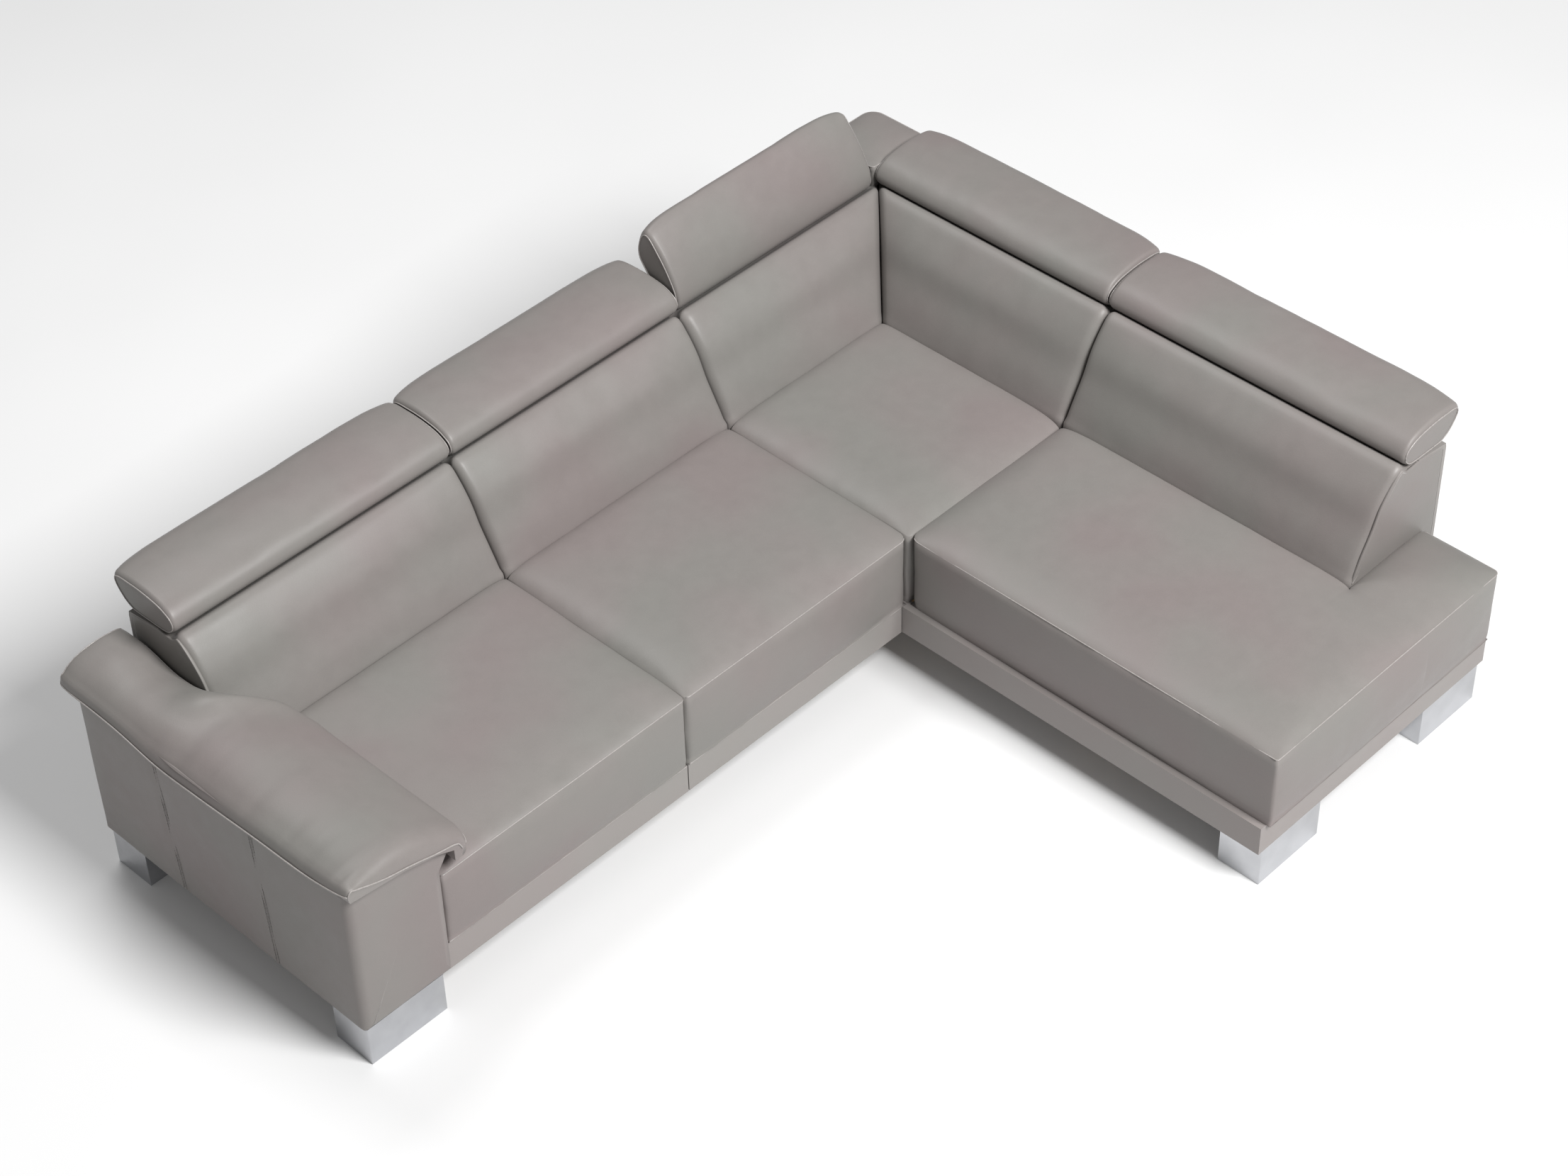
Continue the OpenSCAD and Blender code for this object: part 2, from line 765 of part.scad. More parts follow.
// Arm body: a leather box whose inner side flares out under the pillow
foot_round = 14;
arm_inner_round = 5;
fold_out = arm_in - 104;
fold_in = arm_in - 12;
arm_nose = arm_in + arm_flare;
arm_top_line = [
    [arm_out, arm_h],
    [fold_out, arm_h - 18],
    [fold_in, arm_top_in + 20],
    [arm_nose - 1, arm_top_in]
];
function arm_top(x) = lookup(x, arm_top_line);
function arc(centre, r, from, to, steps) =
    [for (k = [0:steps]) let (a = from + (to - from) * k / steps) centre + r * [cos(a), sin(a)]];
arm_section = concat(
    arc([arm_out + foot_round, foot_h + foot_round], foot_round, 180, 270, 4),
    arc([arm_in - arm_inner_round, foot_h + arm_inner_round], arm_inner_round, 270, 360, 2),
    [[arm_in, seat_top], [arm_nose, arm_top_in - 10]],
    [for (k = [3:-1:0]) arm_top_line[k]]
);
side_round = 16;
module arm_plan() {
    x0 = arm_out - 1;
    x1 = arm_nose + 1;
    polygon(concat(
        arc([arm_out + side_round, arm_front + side_round], side_round, 180, 270, 6),
        [[x1, arm_front], [x1, arm_back]],
        arc([arm_out + side_round, arm_back - side_round], side_round, 90, 180, 6)
    ));
}
function arm_low(spare) = [arm_out, arm_front, foot_h] + (arm_skin - spare) * [1, 1, 1];
function arm_high(spare) = [arm_in - arm_skin + spare, arm_back - arm_skin + spare, arm_top_in - 20 + spare];
bolt_z = foot_h + 45;
bolt_head = 5;
bolt_head_r = 7;
module stud_hole(k) {
    translate([foot_spots[k][0] + foot_l / 2, foot_spots[k][1] + foot_w / 2, 0])
        cylinder(h = foot_h + stud_up + 1, r = stud_r, $fn = hex);
}
module arm_cover() {
    color(leather) sofa() difference() {
        intersection() {
            translate([0, arm_back, 0]) rotate([90, 0, 0])
                linear_extrude(arm_back - arm_front) polygon(arm_section);
            linear_extrude(arm_h + 1) arm_plan();
        }
        span(arm_low(0), arm_high(0));
        for (k = [0, 1]) stud_hole(k);
        for (y = bolt_spots) translate([0, y, bolt_z])
            wing_rod(arm_in - arm_skin - 1, arm_in + 1, 0, 0, bolt_r, hex);
    }
}

// Timber frame of the arm: a floor, a top board and ribs between them
arm_ribs = 6;
rib_t = 18;
module arm_frame() {
    low = arm_low(-rest_fit);
    high = arm_high(-rest_fit);
    step = (high[1] - low[1] - rib_t) / (arm_ribs - 1);
    color(timber) sofa() difference() {
        union() {
            span(low, [high[0], high[1], low[2] + rib_t]);
            span([low[0], low[1], high[2] - rib_t], high);
            for (k = [0:arm_ribs - 1]) translate([0, low[1] + k * step, 0])
                span([low[0], 0, low[2]], [high[0], rib_t, high[2]]);
        }
        for (k = [0, 1]) stud_hole(k);
    }
}
module arm_bolts() {
    color(steel) sofa() for (y = bolt_spots) translate([0, y, bolt_z]) {
        wing_rod(arm_in - arm_skin - bolt_head, arm_in - arm_skin, 0, 0, bolt_head_r, hex);
        wing_rod(arm_in - arm_skin, arm_in + board_t, 0, 0, bolt_r, hex);
    }
}

// Hollow that the arm's body leaves in what lies over it
over_fit = 1.5;
arm_room = [
    [back_start - 1, 0],
    [arm_nose + 2, 0],
    [arm_nose + 2, arm_top_in + over_fit],
    [fold_in, arm_top(fold_in) + over_fit],
    [back_start - 1, arm_top(back_start - 1) + over_fit]
];
module room_over_arm() {
    translate([0, back_d + 1, 0]) rotate([90, 0, 0]) linear_extrude(back_d + 2) polygon(arm_room);
}

// Arm pillow: its outer piping's height along it, and rows of width share, wide and narrow height
pillow_piping = [[0, 22], [0.1, 2], [0.32, -11], [0.51, -23], [0.65, -27], [0.79, -8], [1, -2]];
pillow_rows = [
    [0, 0, 0],
    [0.015, 14, 13],
    [0.07, 25, 22],
    [0.18, 34, 32],
    [0.34, 37, 37],
    [0.5, 32, 38],
    [0.64, 17, 36],
    [0.76, -4, 32],
    [0.86, -22, 26],
    [0.94, -42, 18],
    [1, -66, 4]
];
pillow_hang = -91;
pillow_drop = 22;
pillow_ends = [[0, 1], [4, 0.7], [14, 0.42], [34, 0.17], [70, 0]];
pillow_straight = 3;
pillow_curve = [0, 0.15, 0.3, 0.42, 0.54, 0.66, 0.8, 1];
pillow_fit = 0.5;
curve_lift = 2;
curve_from = -117;
curve_to = 40;
hang_x = arm_nose + 3;
hang_share = 0.2;
function mix(a, b, t) = a + (b - a) * t;
function smooth(t) = let (u = min(1, max(0, t))) u * u * (3 - 2 * u);
function under(x, narrow) =
    x >= hang_x
        ? mix(arm_h + pillow_hang, arm_top_in + pillow_fit, min(1, narrow / hang_share))
        : arm_top(x) + pillow_fit + curve_lift * 4 * narrow * (1 - narrow);
function pillow_ring(y, end) =
    let (
        narrow = smooth((y - curve_from) / (curve_to - curve_from)),
        x_out = arm_out - pillow_over + 5 * end,
        x_in = mix(arm_in + pillow_reach, back_start - 2, narrow) - 8 * end,
        piping = lookup((y - pillow_front) / (pillow_back - pillow_front), pillow_piping),
        fall = min(hang_x, x_in - 14),
        tuck = max(fall + 2, x_in - 8 - 16 * (1 - narrow))
    )
    concat(
        [
            for (row = pillow_rows)
                let (u = row[0])
                    [
                        mix(x_out, x_in, u),
                        y,
                        arm_h + mix(row[1], row[2], narrow) + piping * pow(1 - u, 6)
                            - pillow_drop * end * 4 * u * (1 - u)
                    ]
        ],
        [
            for (x = [x_in - 2, tuck, fall, fall - 0.7, min(fold_in, x_in - 22)])
                [x, y, under(x, narrow)]
        ],
        [
            for (x = [fold_out, arm_out + 4])
                [x, y, arm_top(x) + pillow_fit]
        ],
        [
            for (z = [1.6, min(0.8, piping - 4)])
                [arm_out - 1.2, y, arm_h + z]
        ]
    );
module arm_pillow() {
    reach = pillow_ends[4][0];
    rings = concat(
        [for (row = pillow_ends) pillow_ring(pillow_front + row[0], row[1])],
        [
            for (k = [1:pillow_straight])
                pillow_ring(mix(pillow_front + reach, curve_from, k / (pillow_straight + 1)), 0)
        ],
        [for (t = pillow_curve) pillow_ring(mix(curve_from, curve_to, t), 0)],
        [
            for (k = [1:pillow_straight])
                pillow_ring(mix(curve_to, pillow_back - reach, k / (pillow_straight + 1)), 0)
        ],
        [for (k = [4:-1:0]) pillow_ring(pillow_back - pillow_ends[k][0], pillow_ends[k][1])]
    );
    color(leather) sofa() ring_solid(rings, pillow_hub(rings[0]), pillow_hub(rings[len(rings) - 1]));
}
// The hub of an end face sits in the half under the crown, where it sees the whole outline
function pillow_hub(ring) = middle(ring[4], ring[16]);

// Fixed hinge plates: a leaf that rises to the hinge line, on a flange screwed to the back's rail
elbow = [hinge_d + leaf_drop * cos(leaf_angle), hinge_z + leaf_drop * sin(leaf_angle)];
flange_t = 3;
flange_w = 44;
leaf_foot = rail_top - 44;
leaf_head = rail_top - 4;
screw_z = rail_top - 24;
function bar(from, to, w) =
    let (side = left_of(unit(to - from)) * w / 2)
    [from + side, from - side, to - side, to + side];
module hinge_bracket(x) {
    low = x - leaf_t / 2;
    high = x + leaf_t / 2;
    difference() {
        union() {
            wing_rod(low, high, hinge_d, hinge_z, knuckle_r, near_round);
            wing_prism(bar([hinge_d, hinge_z], elbow, leaf_w), low, high);
            wing_rod(low, high, elbow[0], elbow[1], leaf_w / 2, hex);
            wing_prism(bar([elbow[0], leaf_foot], elbow, leaf_w), low, high);
            span([low, elbow[0], leaf_foot], [high, rail_front, leaf_head]);
            span(
                [x - flange_w / 2, rail_front - flange_t, leaf_foot],
                [x + flange_w / 2, rail_front, leaf_head]
            );
        }
        wing_rod(low - 1, high + 1, hinge_d, hinge_z, pin_r + pin_clear, true_round);
        for (s = flange_screws) translate([x + s, rail_front + 1, screw_z]) rotate([90, 0, 0])
            cylinder(h = flange_t + 2, r = screw_r, $fn = hex);
    }
}
module hinge_brackets() {
    color(steel) for (k = [0:4]) wing(k > 2) for (x = hinge_places(k)) hinge_bracket(x);
}
module bracket_screws() {
    color(steel) for (k = [0:4]) wing(k > 2) for (x = hinge_places(k), s = flange_screws)
        translate([x + s, rail_front - flange_t, screw_z]) rotate([-90, 0, 0]) {
            cylinder(h = screw_l, r = screw_r, $fn = hex);
            translate([0, 0, -screw_head]) cylinder(h = screw_head, r = 2 * screw_r, $fn = hex);
        }
}

// Section of a headrest from its hinge line: depth, height, and how far it draws in and swells
rest_high = rest_t - rest_r;
rest_far = rest_d - rest_r;
rest_section = concat(
    [
        [rest_far * 0.62, -rest_r - 2, 0.4, 0],
        [rest_far * 0.78, -rest_r + 8, 1, 0.7],
        [rest_far * 0.91, -rest_r + 30, 1, 1],
        [rest_far - 3, 6, 1, 1],
        [rest_far, 22, 1, 1],
        [rest_far - 12, rest_high - 9, 1, 0.9],
        [rest_far - 40, rest_high - 2, 1, 0.5],
        [rest_far * 0.42, rest_high, 1, 0.1],
        [-4, rest_high - 0.5, 1, 0.1],
        [-24, rest_high - 6.5, 1, 0.1]
    ],
    [for (a = [150:30:270]) [rest_r * cos(a), rest_r * sin(a), 0.6, 0]]
);
module tilt(k) {
    wing(k > 2) translate([0, hinge_d, hinge_z]) rotate([k == 2 ? raised_angle : 0, 0, 0]) children();
}

// Room in a headrest for its board, for the arms below it, and for the fixed plates as it swings
slot_reach = 70;
slot_half = leaf_w / 2 + 2;
function ray(angle) = [cos(angle), sin(angle)];
pocket_r = knuckle_r + 4;
slot_room = 2.5;
pocket_room = 3;
arm_play = 2;
board_play = 1;
leaf_play = 0.5;
pin_over = 3;
pin_sunk = 1;
pin_head_r = pin_r + 3;
arm_side = leaf_t / 2 + leaf_play;
arm_thick = 4;
arm_bar = 9;
arm_reach = 118;
arm_pad_w = 24;
arm_pad_t = 3;
arm_pad_from = rest_board[0] + 10;
slot_low = leaf_angle - swing;
slot_outline = [
    slot_half * ray(slot_low - 90),
    slot_half * ray(slot_low - 90) + slot_reach * ray(slot_low),
    slot_reach * 1.3 * ray(leaf_angle - swing / 2),
    slot_half * ray(leaf_angle + 90) + slot_reach * ray(leaf_angle),
    slot_half * ray(leaf_angle + 90)
];
module headrest_room(k) {
    a = rest_spans[k];
    span(
        [a[0] + board_margin - board_play, rest_board[0] - board_play, rest_board_z[0] - board_play],
        [a[1] - board_margin + board_play, rest_board[1] + board_play, rest_board_z[1] + board_play]
    );
    for (x = hinge_places(k)) {
        low = x + arm_side;
        high = low + arm_thick;
        wing_rod(x - leaf_t / 2 - pin_over - pocket_room, high + pocket_room, 0, 0, pocket_r, octagon);
        wing_prism(slot_outline, x - leaf_t / 2 - slot_room, x + leaf_t / 2 + slot_room);
        span(
            [low - arm_play, -arm_play, rest_board_z[0] - arm_bar - arm_play],
            [high + arm_play, arm_reach + arm_play, rest_board_z[0]]
        );
        span(
            [low, arm_pad_from - arm_play, rest_board_z[0] - arm_pad_t - arm_play],
            [high + arm_pad_w + arm_play, arm_reach + arm_play, rest_board_z[0]]
        );
    }
}
module headrest_cover(k) {
    color(leather) tilt(k) difference() {
        swept_form(rest_section, rest_spans[k][0], rest_spans[k][1], 14, 20, 0, 0);
        headrest_room(k);
    }
}
module headrest_board(k) {
    color(timber) tilt(k) span(
        [rest_spans[k][0] + board_margin, rest_board[0], rest_board_z[0]],
        [rest_spans[k][1] - board_margin, rest_board[1], rest_board_z[1]]
    );
}
module hinge_arms(k) {
    color(steel) tilt(k) for (x = hinge_places(k)) {
        low = x + arm_side;
        wing_rod(low, low + arm_thick, 0, 0, knuckle_r, near_round);
        span(
            [low, 0, rest_board_z[0] - arm_bar],
            [low + arm_thick, arm_reach, rest_board_z[0]]
        );
        span(
            [low, arm_pad_from, rest_board_z[0] - arm_pad_t],
            [low + arm_thick + arm_pad_w, arm_reach, rest_board_z[0]]
        );
        head = x - leaf_t / 2 - pin_over;
        wing_rod(head + pin_sunk, low + arm_thick - pin_sunk, 0, 0, pin_r, true_round);
        wing_rod(head, x - leaf_t / 2 - leaf_play, 0, 0, pin_head_r, hex);
    }
}
module headrest_cover_a() {
    headrest_cover(0);
}
module headrest_cover_b() {
    headrest_cover(1);
}
module headrest_cover_c() {
    headrest_cover(2);
}
module headrest_cover_d() {
    headrest_cover(3);
}
module headrest_cover_e() {
    headrest_cover(4);
}
module headrest_board_a() {
    headrest_board(0);
}
module headrest_board_b() {
    headrest_board(1);
}
module headrest_board_c() {
    headrest_board(2);
}
module headrest_board_d() {
    headrest_board(3);
}
module headrest_board_e() {
    headrest_board(4);
}
module hinge_arms_a() {
    hinge_arms(0);
}
module hinge_arms_b() {
    hinge_arms(1);
}
module hinge_arms_c() {
    hinge_arms(2);
}
module hinge_arms_d() {
    hinge_arms(3);
}
module hinge_arms_e() {
    hinge_arms(4);
}

foot_arm_front();
foot_arm_back();
foot_chaise_inner();
foot_chaise_outer();
foot_corner_back();
foot_glides();
foot_studs();
support_legs();
plinth_front_a();
plinth_front_b();
plinth_back();
plinth_chaise_left();
plinth_chaise_front();
plinth_chaise_right();
cross_rails();
seat_springs();
module_hooks();
seat_cushion_a();
seat_cushion_b();
seat_cushion_corner();
seat_cushion_chaise();
seat_foam_a();
seat_foam_b();
seat_foam_corner();
seat_foam_chaise();
back_cushion_a();
back_cushion_b();
back_cushion_c();
back_cushion_d();
back_cushion_e();
back_foams();
back_posts();
back_rail_long();
back_rail_chaise();
rear_cover_long();
rear_cover_chaise();
back_end_panels();
corner_cap();
arm_cover();
arm_frame();
arm_pillow();
arm_bolts();
hinge_brackets();
bracket_screws();
headrest_cover_a();
headrest_cover_b();
headrest_cover_c();
headrest_cover_d();
headrest_cover_e();
headrest_board_a();
headrest_board_b();
headrest_board_c();
headrest_board_d();
headrest_board_e();
hinge_arms_a();
hinge_arms_b();
hinge_arms_c();
hinge_arms_d();
hinge_arms_e();
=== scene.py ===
import functools
import math

import bmesh
import bpy
import numpy as np
from mathutils import Matrix, Vector, noise


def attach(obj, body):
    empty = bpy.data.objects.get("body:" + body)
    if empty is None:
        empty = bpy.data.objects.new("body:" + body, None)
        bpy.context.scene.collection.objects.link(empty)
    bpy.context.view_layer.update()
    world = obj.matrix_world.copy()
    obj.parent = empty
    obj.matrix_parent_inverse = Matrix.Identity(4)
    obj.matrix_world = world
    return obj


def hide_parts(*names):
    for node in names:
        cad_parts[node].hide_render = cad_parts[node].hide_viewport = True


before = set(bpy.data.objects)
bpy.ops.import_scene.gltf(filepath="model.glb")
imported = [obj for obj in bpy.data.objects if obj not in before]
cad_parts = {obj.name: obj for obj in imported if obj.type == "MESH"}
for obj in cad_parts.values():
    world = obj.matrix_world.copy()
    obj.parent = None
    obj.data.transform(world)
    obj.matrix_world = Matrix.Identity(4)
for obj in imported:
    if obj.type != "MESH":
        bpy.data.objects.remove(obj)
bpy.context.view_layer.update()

bl_info = {
    "name": "Corner sofa dresser",
    "version": (1, 0, 0),
    "blender": (4, 5, 0),
    "location": "View3D > Sidebar > Sofa",
    "description": "Dresses the framed corner sofa in leather, seams, metal and timber",
    "category": "Object",
}

# Plan of the sofa in millimetres, counted from the inner corner where the two rows of backs meet the
# seats: x along the long wing towards the corner, y towards its back, z up from the floor.
MIDDLE = (-955.5, -653.0)
# arm's outer and inner sides, and its height at the outer one
ARM_OUT, ARM_IN, ARM_H = -2304.0, -2054.0, 552.0
FOOT_H, PLINTH_TOP, SEAT_SEAM = 115.0, 199.0, 413.0
HINGE_D, HINGE_Z = 213.0, 711.5
# turn of the headrest that stands raised, in degrees
RAISED = 55.0
# arm's body: its front and rear faces, and the round between them and its outer side
ARM_FRONT, ARM_BACK, ARM_ROUND = -598.0, 325.0, 24.0
# arm's top, in x and z
ARM_TOP = ((-2304, 552), (-2158, 534), (-2066, 513), (-2024, 493))
# upright seams on the arm's outer side: their places at the top and at the foot, and their reach
ARM_SEAMS = ((52, 19), (-281, -306))
ARM_SEAM_LOW, ARM_SEAM_SPAN = 135.0, 400.0
# faces of the rear covers
REAR_FACE, REAR_LOW, REAR_HIGH = 345.0, 121.0, 650.0
# upright seams of the rear covers
REAR_JOINTS = ((False, -1294.0), (False, -544.0), (True, 585.0))
# thickness of the piping, in metres
PIPING = {"seam": 0.0028, "hem_highlight": 0.0030, "back end": 0.0026, "headrest": 0.0032, "corner": 0.0034,
          "pillow": 0.0036}
# thread of the stitch rows: its radius and its height over the leather, in metres
THREAD_RADIUS, THREAD_LIFT = 0.0006, 0.0007
# ends of the headrests along their wings
REST_SPANS = ((-2116.0, -1295.5), (-1292.5, -545.5), (-542.5, 160.0), (-189.0, 583.5), (586.5, 1474.0))
# back cushions: whether on the chaise's wing, their ends, and the mitre of each end
BACK_ROWS = (
    (False, -2116.0, -1305.5, 0.0, 0.0),
    (False, -1302.5, -555.5, 0.0, 0.0),
    (False, -552.5, -1.5, 0.0, 1.0),
    (True, 1.5, 593.5, 1.0, 0.0),
    (True, 596.5, 1474.0, 0.0, 0.0),
)


def linear(code):
    """Linear colour of an sRGB hex code."""
    rgb = [int(code[i:i + 2], 16) / 255 for i in (0, 2, 4)]
    return [c / 12.92 if c <= 0.04045 else ((c + 0.055) / 1.055) ** 2.4 for c in rgb]


def rgba(colour):
    """Opaque colour for a node, from a hex code or from a property."""
    return (*(linear(colour) if isinstance(colour, str) else colour), 1.0)


def colour_setting(name, description, code):
    """Setting for a colour, whose default is a hex code."""
    return bpy.props.FloatVectorProperty(name=name, description=description, subtype="COLOR", size=3,
                                         min=0.0, max=1.0, default=linear(code))


def length_setting(name, description, low, high, default):
    """Setting for a length in metres."""
    return bpy.props.FloatProperty(name=name, description=description, unit="LENGTH", min=low, max=high,
                                   default=default)


class SofaColours(bpy.types.PropertyGroup):
    """Colours of the sofa's finishes."""

    leather: colour_setting("Leather", "Taupe grey of the leather", "807b78")
    leather_warm: colour_setting("Leather, warm cast", "Rosy cast where the dye took deeper", "807876")
    thread: colour_setting("Thread", "Sewing thread", "85807d")
    chrome: colour_setting("Chrome", "Plated sheet of the feet", "bcbdc0")
    floor: colour_setting("Floor", "Pale studio floor", "dedede")


class SofaSizes(bpy.types.PropertyGroup):
    """Sizes of the sewing and padding."""

    stitch: length_setting("Stitch", "Length of one stitch", 0.003, 0.012, 0.006)
    seat_swell: length_setting("Front swell", "How far a seat's front panel stands out", 0.0, 0.02, 0.014)
    crown: length_setting("Seat crown", "Rise of a seat's top over its seam", 0.0, 0.04, 0.026)
    softness: length_setting("Softness", "Height of the soft unevenness in the leather", 0.0, 0.004, 0.0011)


def sizes():
    """Sizes set in the panel."""
    return bpy.context.scene.sofa_sizes


def colours():
    """Colours set in the panel."""
    return bpy.context.scene.sofa_colours


def in_row(points, wing=False):
    """Millimetres from the inner corner, or of the chaise's wing, to metres of the row frame."""
    p = np.asarray(points, float)
    if wing:
        p = np.stack([p[..., 1], -p[..., 0], p[..., 2]], axis=-1)
    return (p - np.array([MIDDLE[0], MIDDLE[1], 0.0])) / 1000.0


def xyz(x, y, z):
    """Points from their x, y and z, each given as one number or as a row of them."""
    return np.stack(np.broadcast_arrays(x, y, z), axis=-1)


def soft_noise(points, size, seed):
    """Smooth noise from -1 to 1 at points in metres, with bumps of that size in metres."""
    shift = Vector((seed * 7.31, seed * 3.17, seed * 5.71))
    values = [noise.noise(Vector(p) / size + shift) for p in points.reshape(-1, 3)]
    return np.array(values).reshape(points.shape[:-1])


def mesh_piece(name, verts, faces, material):
    """Smoothly shaded object made of these vertices in the row frame."""
    mesh = bpy.data.meshes.new(name)
    mesh.from_pydata([tuple(v) for v in verts], [], [tuple(int(i) for i in f) for f in faces])
    mesh.validate()
    bm = bmesh.new()
    bm.from_mesh(mesh)
    bmesh.ops.recalc_face_normals(bm, faces=bm.faces)
    bm.to_mesh(mesh)
    bm.free()
    for poly in mesh.polygons:
        poly.use_smooth = True
    piece = bpy.data.objects.new(name, mesh)
    bpy.context.scene.collection.objects.link(piece)
    mesh.materials.append(material)
    return piece


def hermite(t):
    """Weights of a cubic's start, start slope, end and end slope at a share t of its span."""
    return 2 * t**3 - 3 * t**2 + 1, t**3 - 2 * t**2 + t, -2 * t**3 + 3 * t**2, t**3 - t**2


def curve_through(rows, step):
    """Closed outline through rows (d, z, draw, swell, sharp), smooth between its sharp corners."""
    rows = [np.array(r, float) for r in rows]
    n = len(rows)
    out = []
    for i in range(n):
        p0, p1, p2, p3 = rows[(i - 1) % n], rows[i], rows[(i + 1) % n], rows[(i + 2) % n]
        length = np.linalg.norm(p2[:2] - p1[:2])
        count = max(1, int(round(length / step)))
        wide1, wide2 = np.linalg.norm(p2[:2] - p0[:2]), np.linalg.norm(p3[:2] - p1[:2])
        m1 = (p2 - p1) if p1[4] else (p2 - p0) / 2 * min(1.0, 2 * length / (wide1 + 1e-9))
        m2 = (p2 - p1) if p2[4] else (p3 - p1) / 2 * min(1.0, 2 * length / (wide2 + 1e-9))
        for k in range(count):
            t = k / count
            a, b, c, e = hermite(t)
            p = a * p1 + b * m1 + c * p2 + e * m2
            p[2:4] = np.clip(p1[2:4] * (1 - t) + p2[2:4] * t, 0, 1)
            out.append(p[:4])
    return np.array(out)


def inward_of(loop):
    """Inward directions of an anticlockwise closed outline."""
    along = np.roll(loop[:, :2], -1, axis=0) - np.roll(loop[:, :2], 1, axis=0)
    along /= np.linalg.norm(along, axis=1)[:, None] + 1e-9
    return np.stack([-along[:, 1], along[:, 0]], axis=1)


# rings of the panel that closes a swept cushion's end
PANEL_RINGS = 6
# width of the rim round a flat end, which keeps the end's shading flat, in millimetres
RIM = 0.4


def end_stations(length, edge):
    """Places about 12 mm apart along a swept cushion, with the draw-in of its rounded ends."""
    angles = np.radians([0, 15, 30, 45, 60, 75, 90])
    low = [(edge * (1 - math.cos(a)), edge * (1 - math.sin(a))) for a in angles]
    count = max(2, int(round((length - 2 * edge) / 12.0)))
    mid = [(edge + (length - 2 * edge) * k / count, 0.0) for k in range(1, count)]
    return low + mid + [(length - s, d) for s, d in reversed(low)]


def shell(rings, way, puff, depth):
    """Closed skin over rings stacked that way; slightly puffed panels of smaller rings close its ends."""
    n = len(rings[0])
    way = np.array(way, float)

    def panel(ring, way):
        hub = ring.mean(axis=0)
        out = []
        for k in range(1, depth + 1):
            t = k / (depth + 1)
            out.append(hub + (ring - hub) * (1 - t)
                       + way * puff * math.sin(math.pi / 2 * min(1.0, t * 2.2)))
        return out, hub + way * puff

    low_rings, low_tip = panel(rings[0], -way)
    high_rings, high_tip = panel(rings[-1], way)
    stack = list(reversed(low_rings)) + list(rings) + high_rings
    faces = walls(len(stack), n)
    tip, last = len(stack) * n, (len(stack) - 1) * n
    for i in range(n):
        b = (i + 1) % n
        faces.append((tip, b, i))
        faces.append((tip + 1, last + i, last + b))
    return np.concatenate(stack + [low_tip[None], high_tip[None]]), faces


def walls(count, n):
    """Faces between a number of rings of n points each."""
    return [(j * n + i, j * n + (i + 1) % n, (j + 1) * n + (i + 1) % n, (j + 1) * n + i)
            for j in range(count - 1) for i in range(n)]


def lids(count, n):
    """Flat faces that close the first and the last of a number of rings of n points each."""
    return [tuple(reversed(range(n))), tuple(range((count - 1) * n, count * n))]


def flat_ended(rings, axes=(0, 2)):
    """Closed skin over rings, clockwise in these axes, whose ends are flat panels in a narrow rim."""
    rims = [ring.copy() for ring in (rings[0], rings[-1])]
    for rim in rims:
        rim[:, axes] -= inward_of(rim[:, axes]) * RIM
    stack = [rims[0]] + rings + [rims[1]]
    shape = len(stack), len(rims[0])
    return np.concatenate(stack), walls(*shape) + lids(*shape)


def sweep(loop, loose, x0, x1, edge, swell, puff, mitres=(0.0, 0.0), power=4, shorten=0.0):
    """Vertices and faces of a cushion swept along its wing between two rounded ends.

    Returns the vertices in millimetres of the wing, the faces, the seam loops at both ends, and how far
    each vertex is from a seam. Loose tells from 0 to 1 how free each point of the outline is to swell."""
    inward = inward_of(loop)
    length = x1 - x0
    stations = end_stations(length, edge)
    reach = np.clip(loop[:, 0] / loop[:, 0].max(), 0, 1) ** 1.5
    rings = []
    for s, draw in stations:
        share = s / length
        end = (2 * share - 1) ** power
        move = draw * loop[:, 2] + swell * end * loop[:, 3]
        p = loop[:, :2] + inward * move[:, None]
        p[:, 0] -= shorten * end * reach
        x = x0 + s + (mitres[1] * share - mitres[0] * (1 - share)) * p[:, 0]
        rings.append(np.column_stack([x, p]))
    verts, faces = shell(rings, (1, 0, 0), puff, PANEL_RINGS)
    spare = np.array([min(s, length - s) for s, _ in stations])[:, None] * loose[None, :]
    ends = np.zeros(PANEL_RINGS * len(loop))
    return verts, faces, (rings[1], rings[-2]), np.concatenate([ends, spare.ravel(), ends, [0, 0]])


def tube(path, radius, sides=8, closed=False):
    """Vertices and faces of a thin tube along a path, both in metres."""
    path = np.asarray(path, float)
    n = len(path)
    if closed:
        ahead = np.roll(path, -1, axis=0) - np.roll(path, 1, axis=0)
    else:
        ahead = np.gradient(path, axis=0)
    ahead /= np.linalg.norm(ahead, axis=1)[:, None] + 1e-12
    side = np.cross(ahead, np.array([0.0, 0.0, 1.0]))
    weak = np.linalg.norm(side, axis=1) < 0.2
    side[weak] = np.cross(ahead[weak], np.array([0.0, 1.0, 0.0]))
    for i in range(1, n):
        if np.dot(side[i], side[i - 1]) < 0:
            side[i] = -side[i]
    side /= np.linalg.norm(side, axis=1)[:, None] + 1e-12
    up = np.cross(side, ahead)
    turns = [2 * math.pi * k / sides for k in range(sides)]
    rings = [path + radius * (side * math.cos(a) + up * math.sin(a)) for a in turns]
    faces = walls(n, sides)
    if closed:
        last = (n - 1) * sides
        faces += [(last + k, last + (k + 1) % sides, (k + 1) % sides, k) for k in range(sides)]
    else:
        faces += lids(n, sides)
    return np.stack(rings, axis=1).reshape(-1, 3), faces


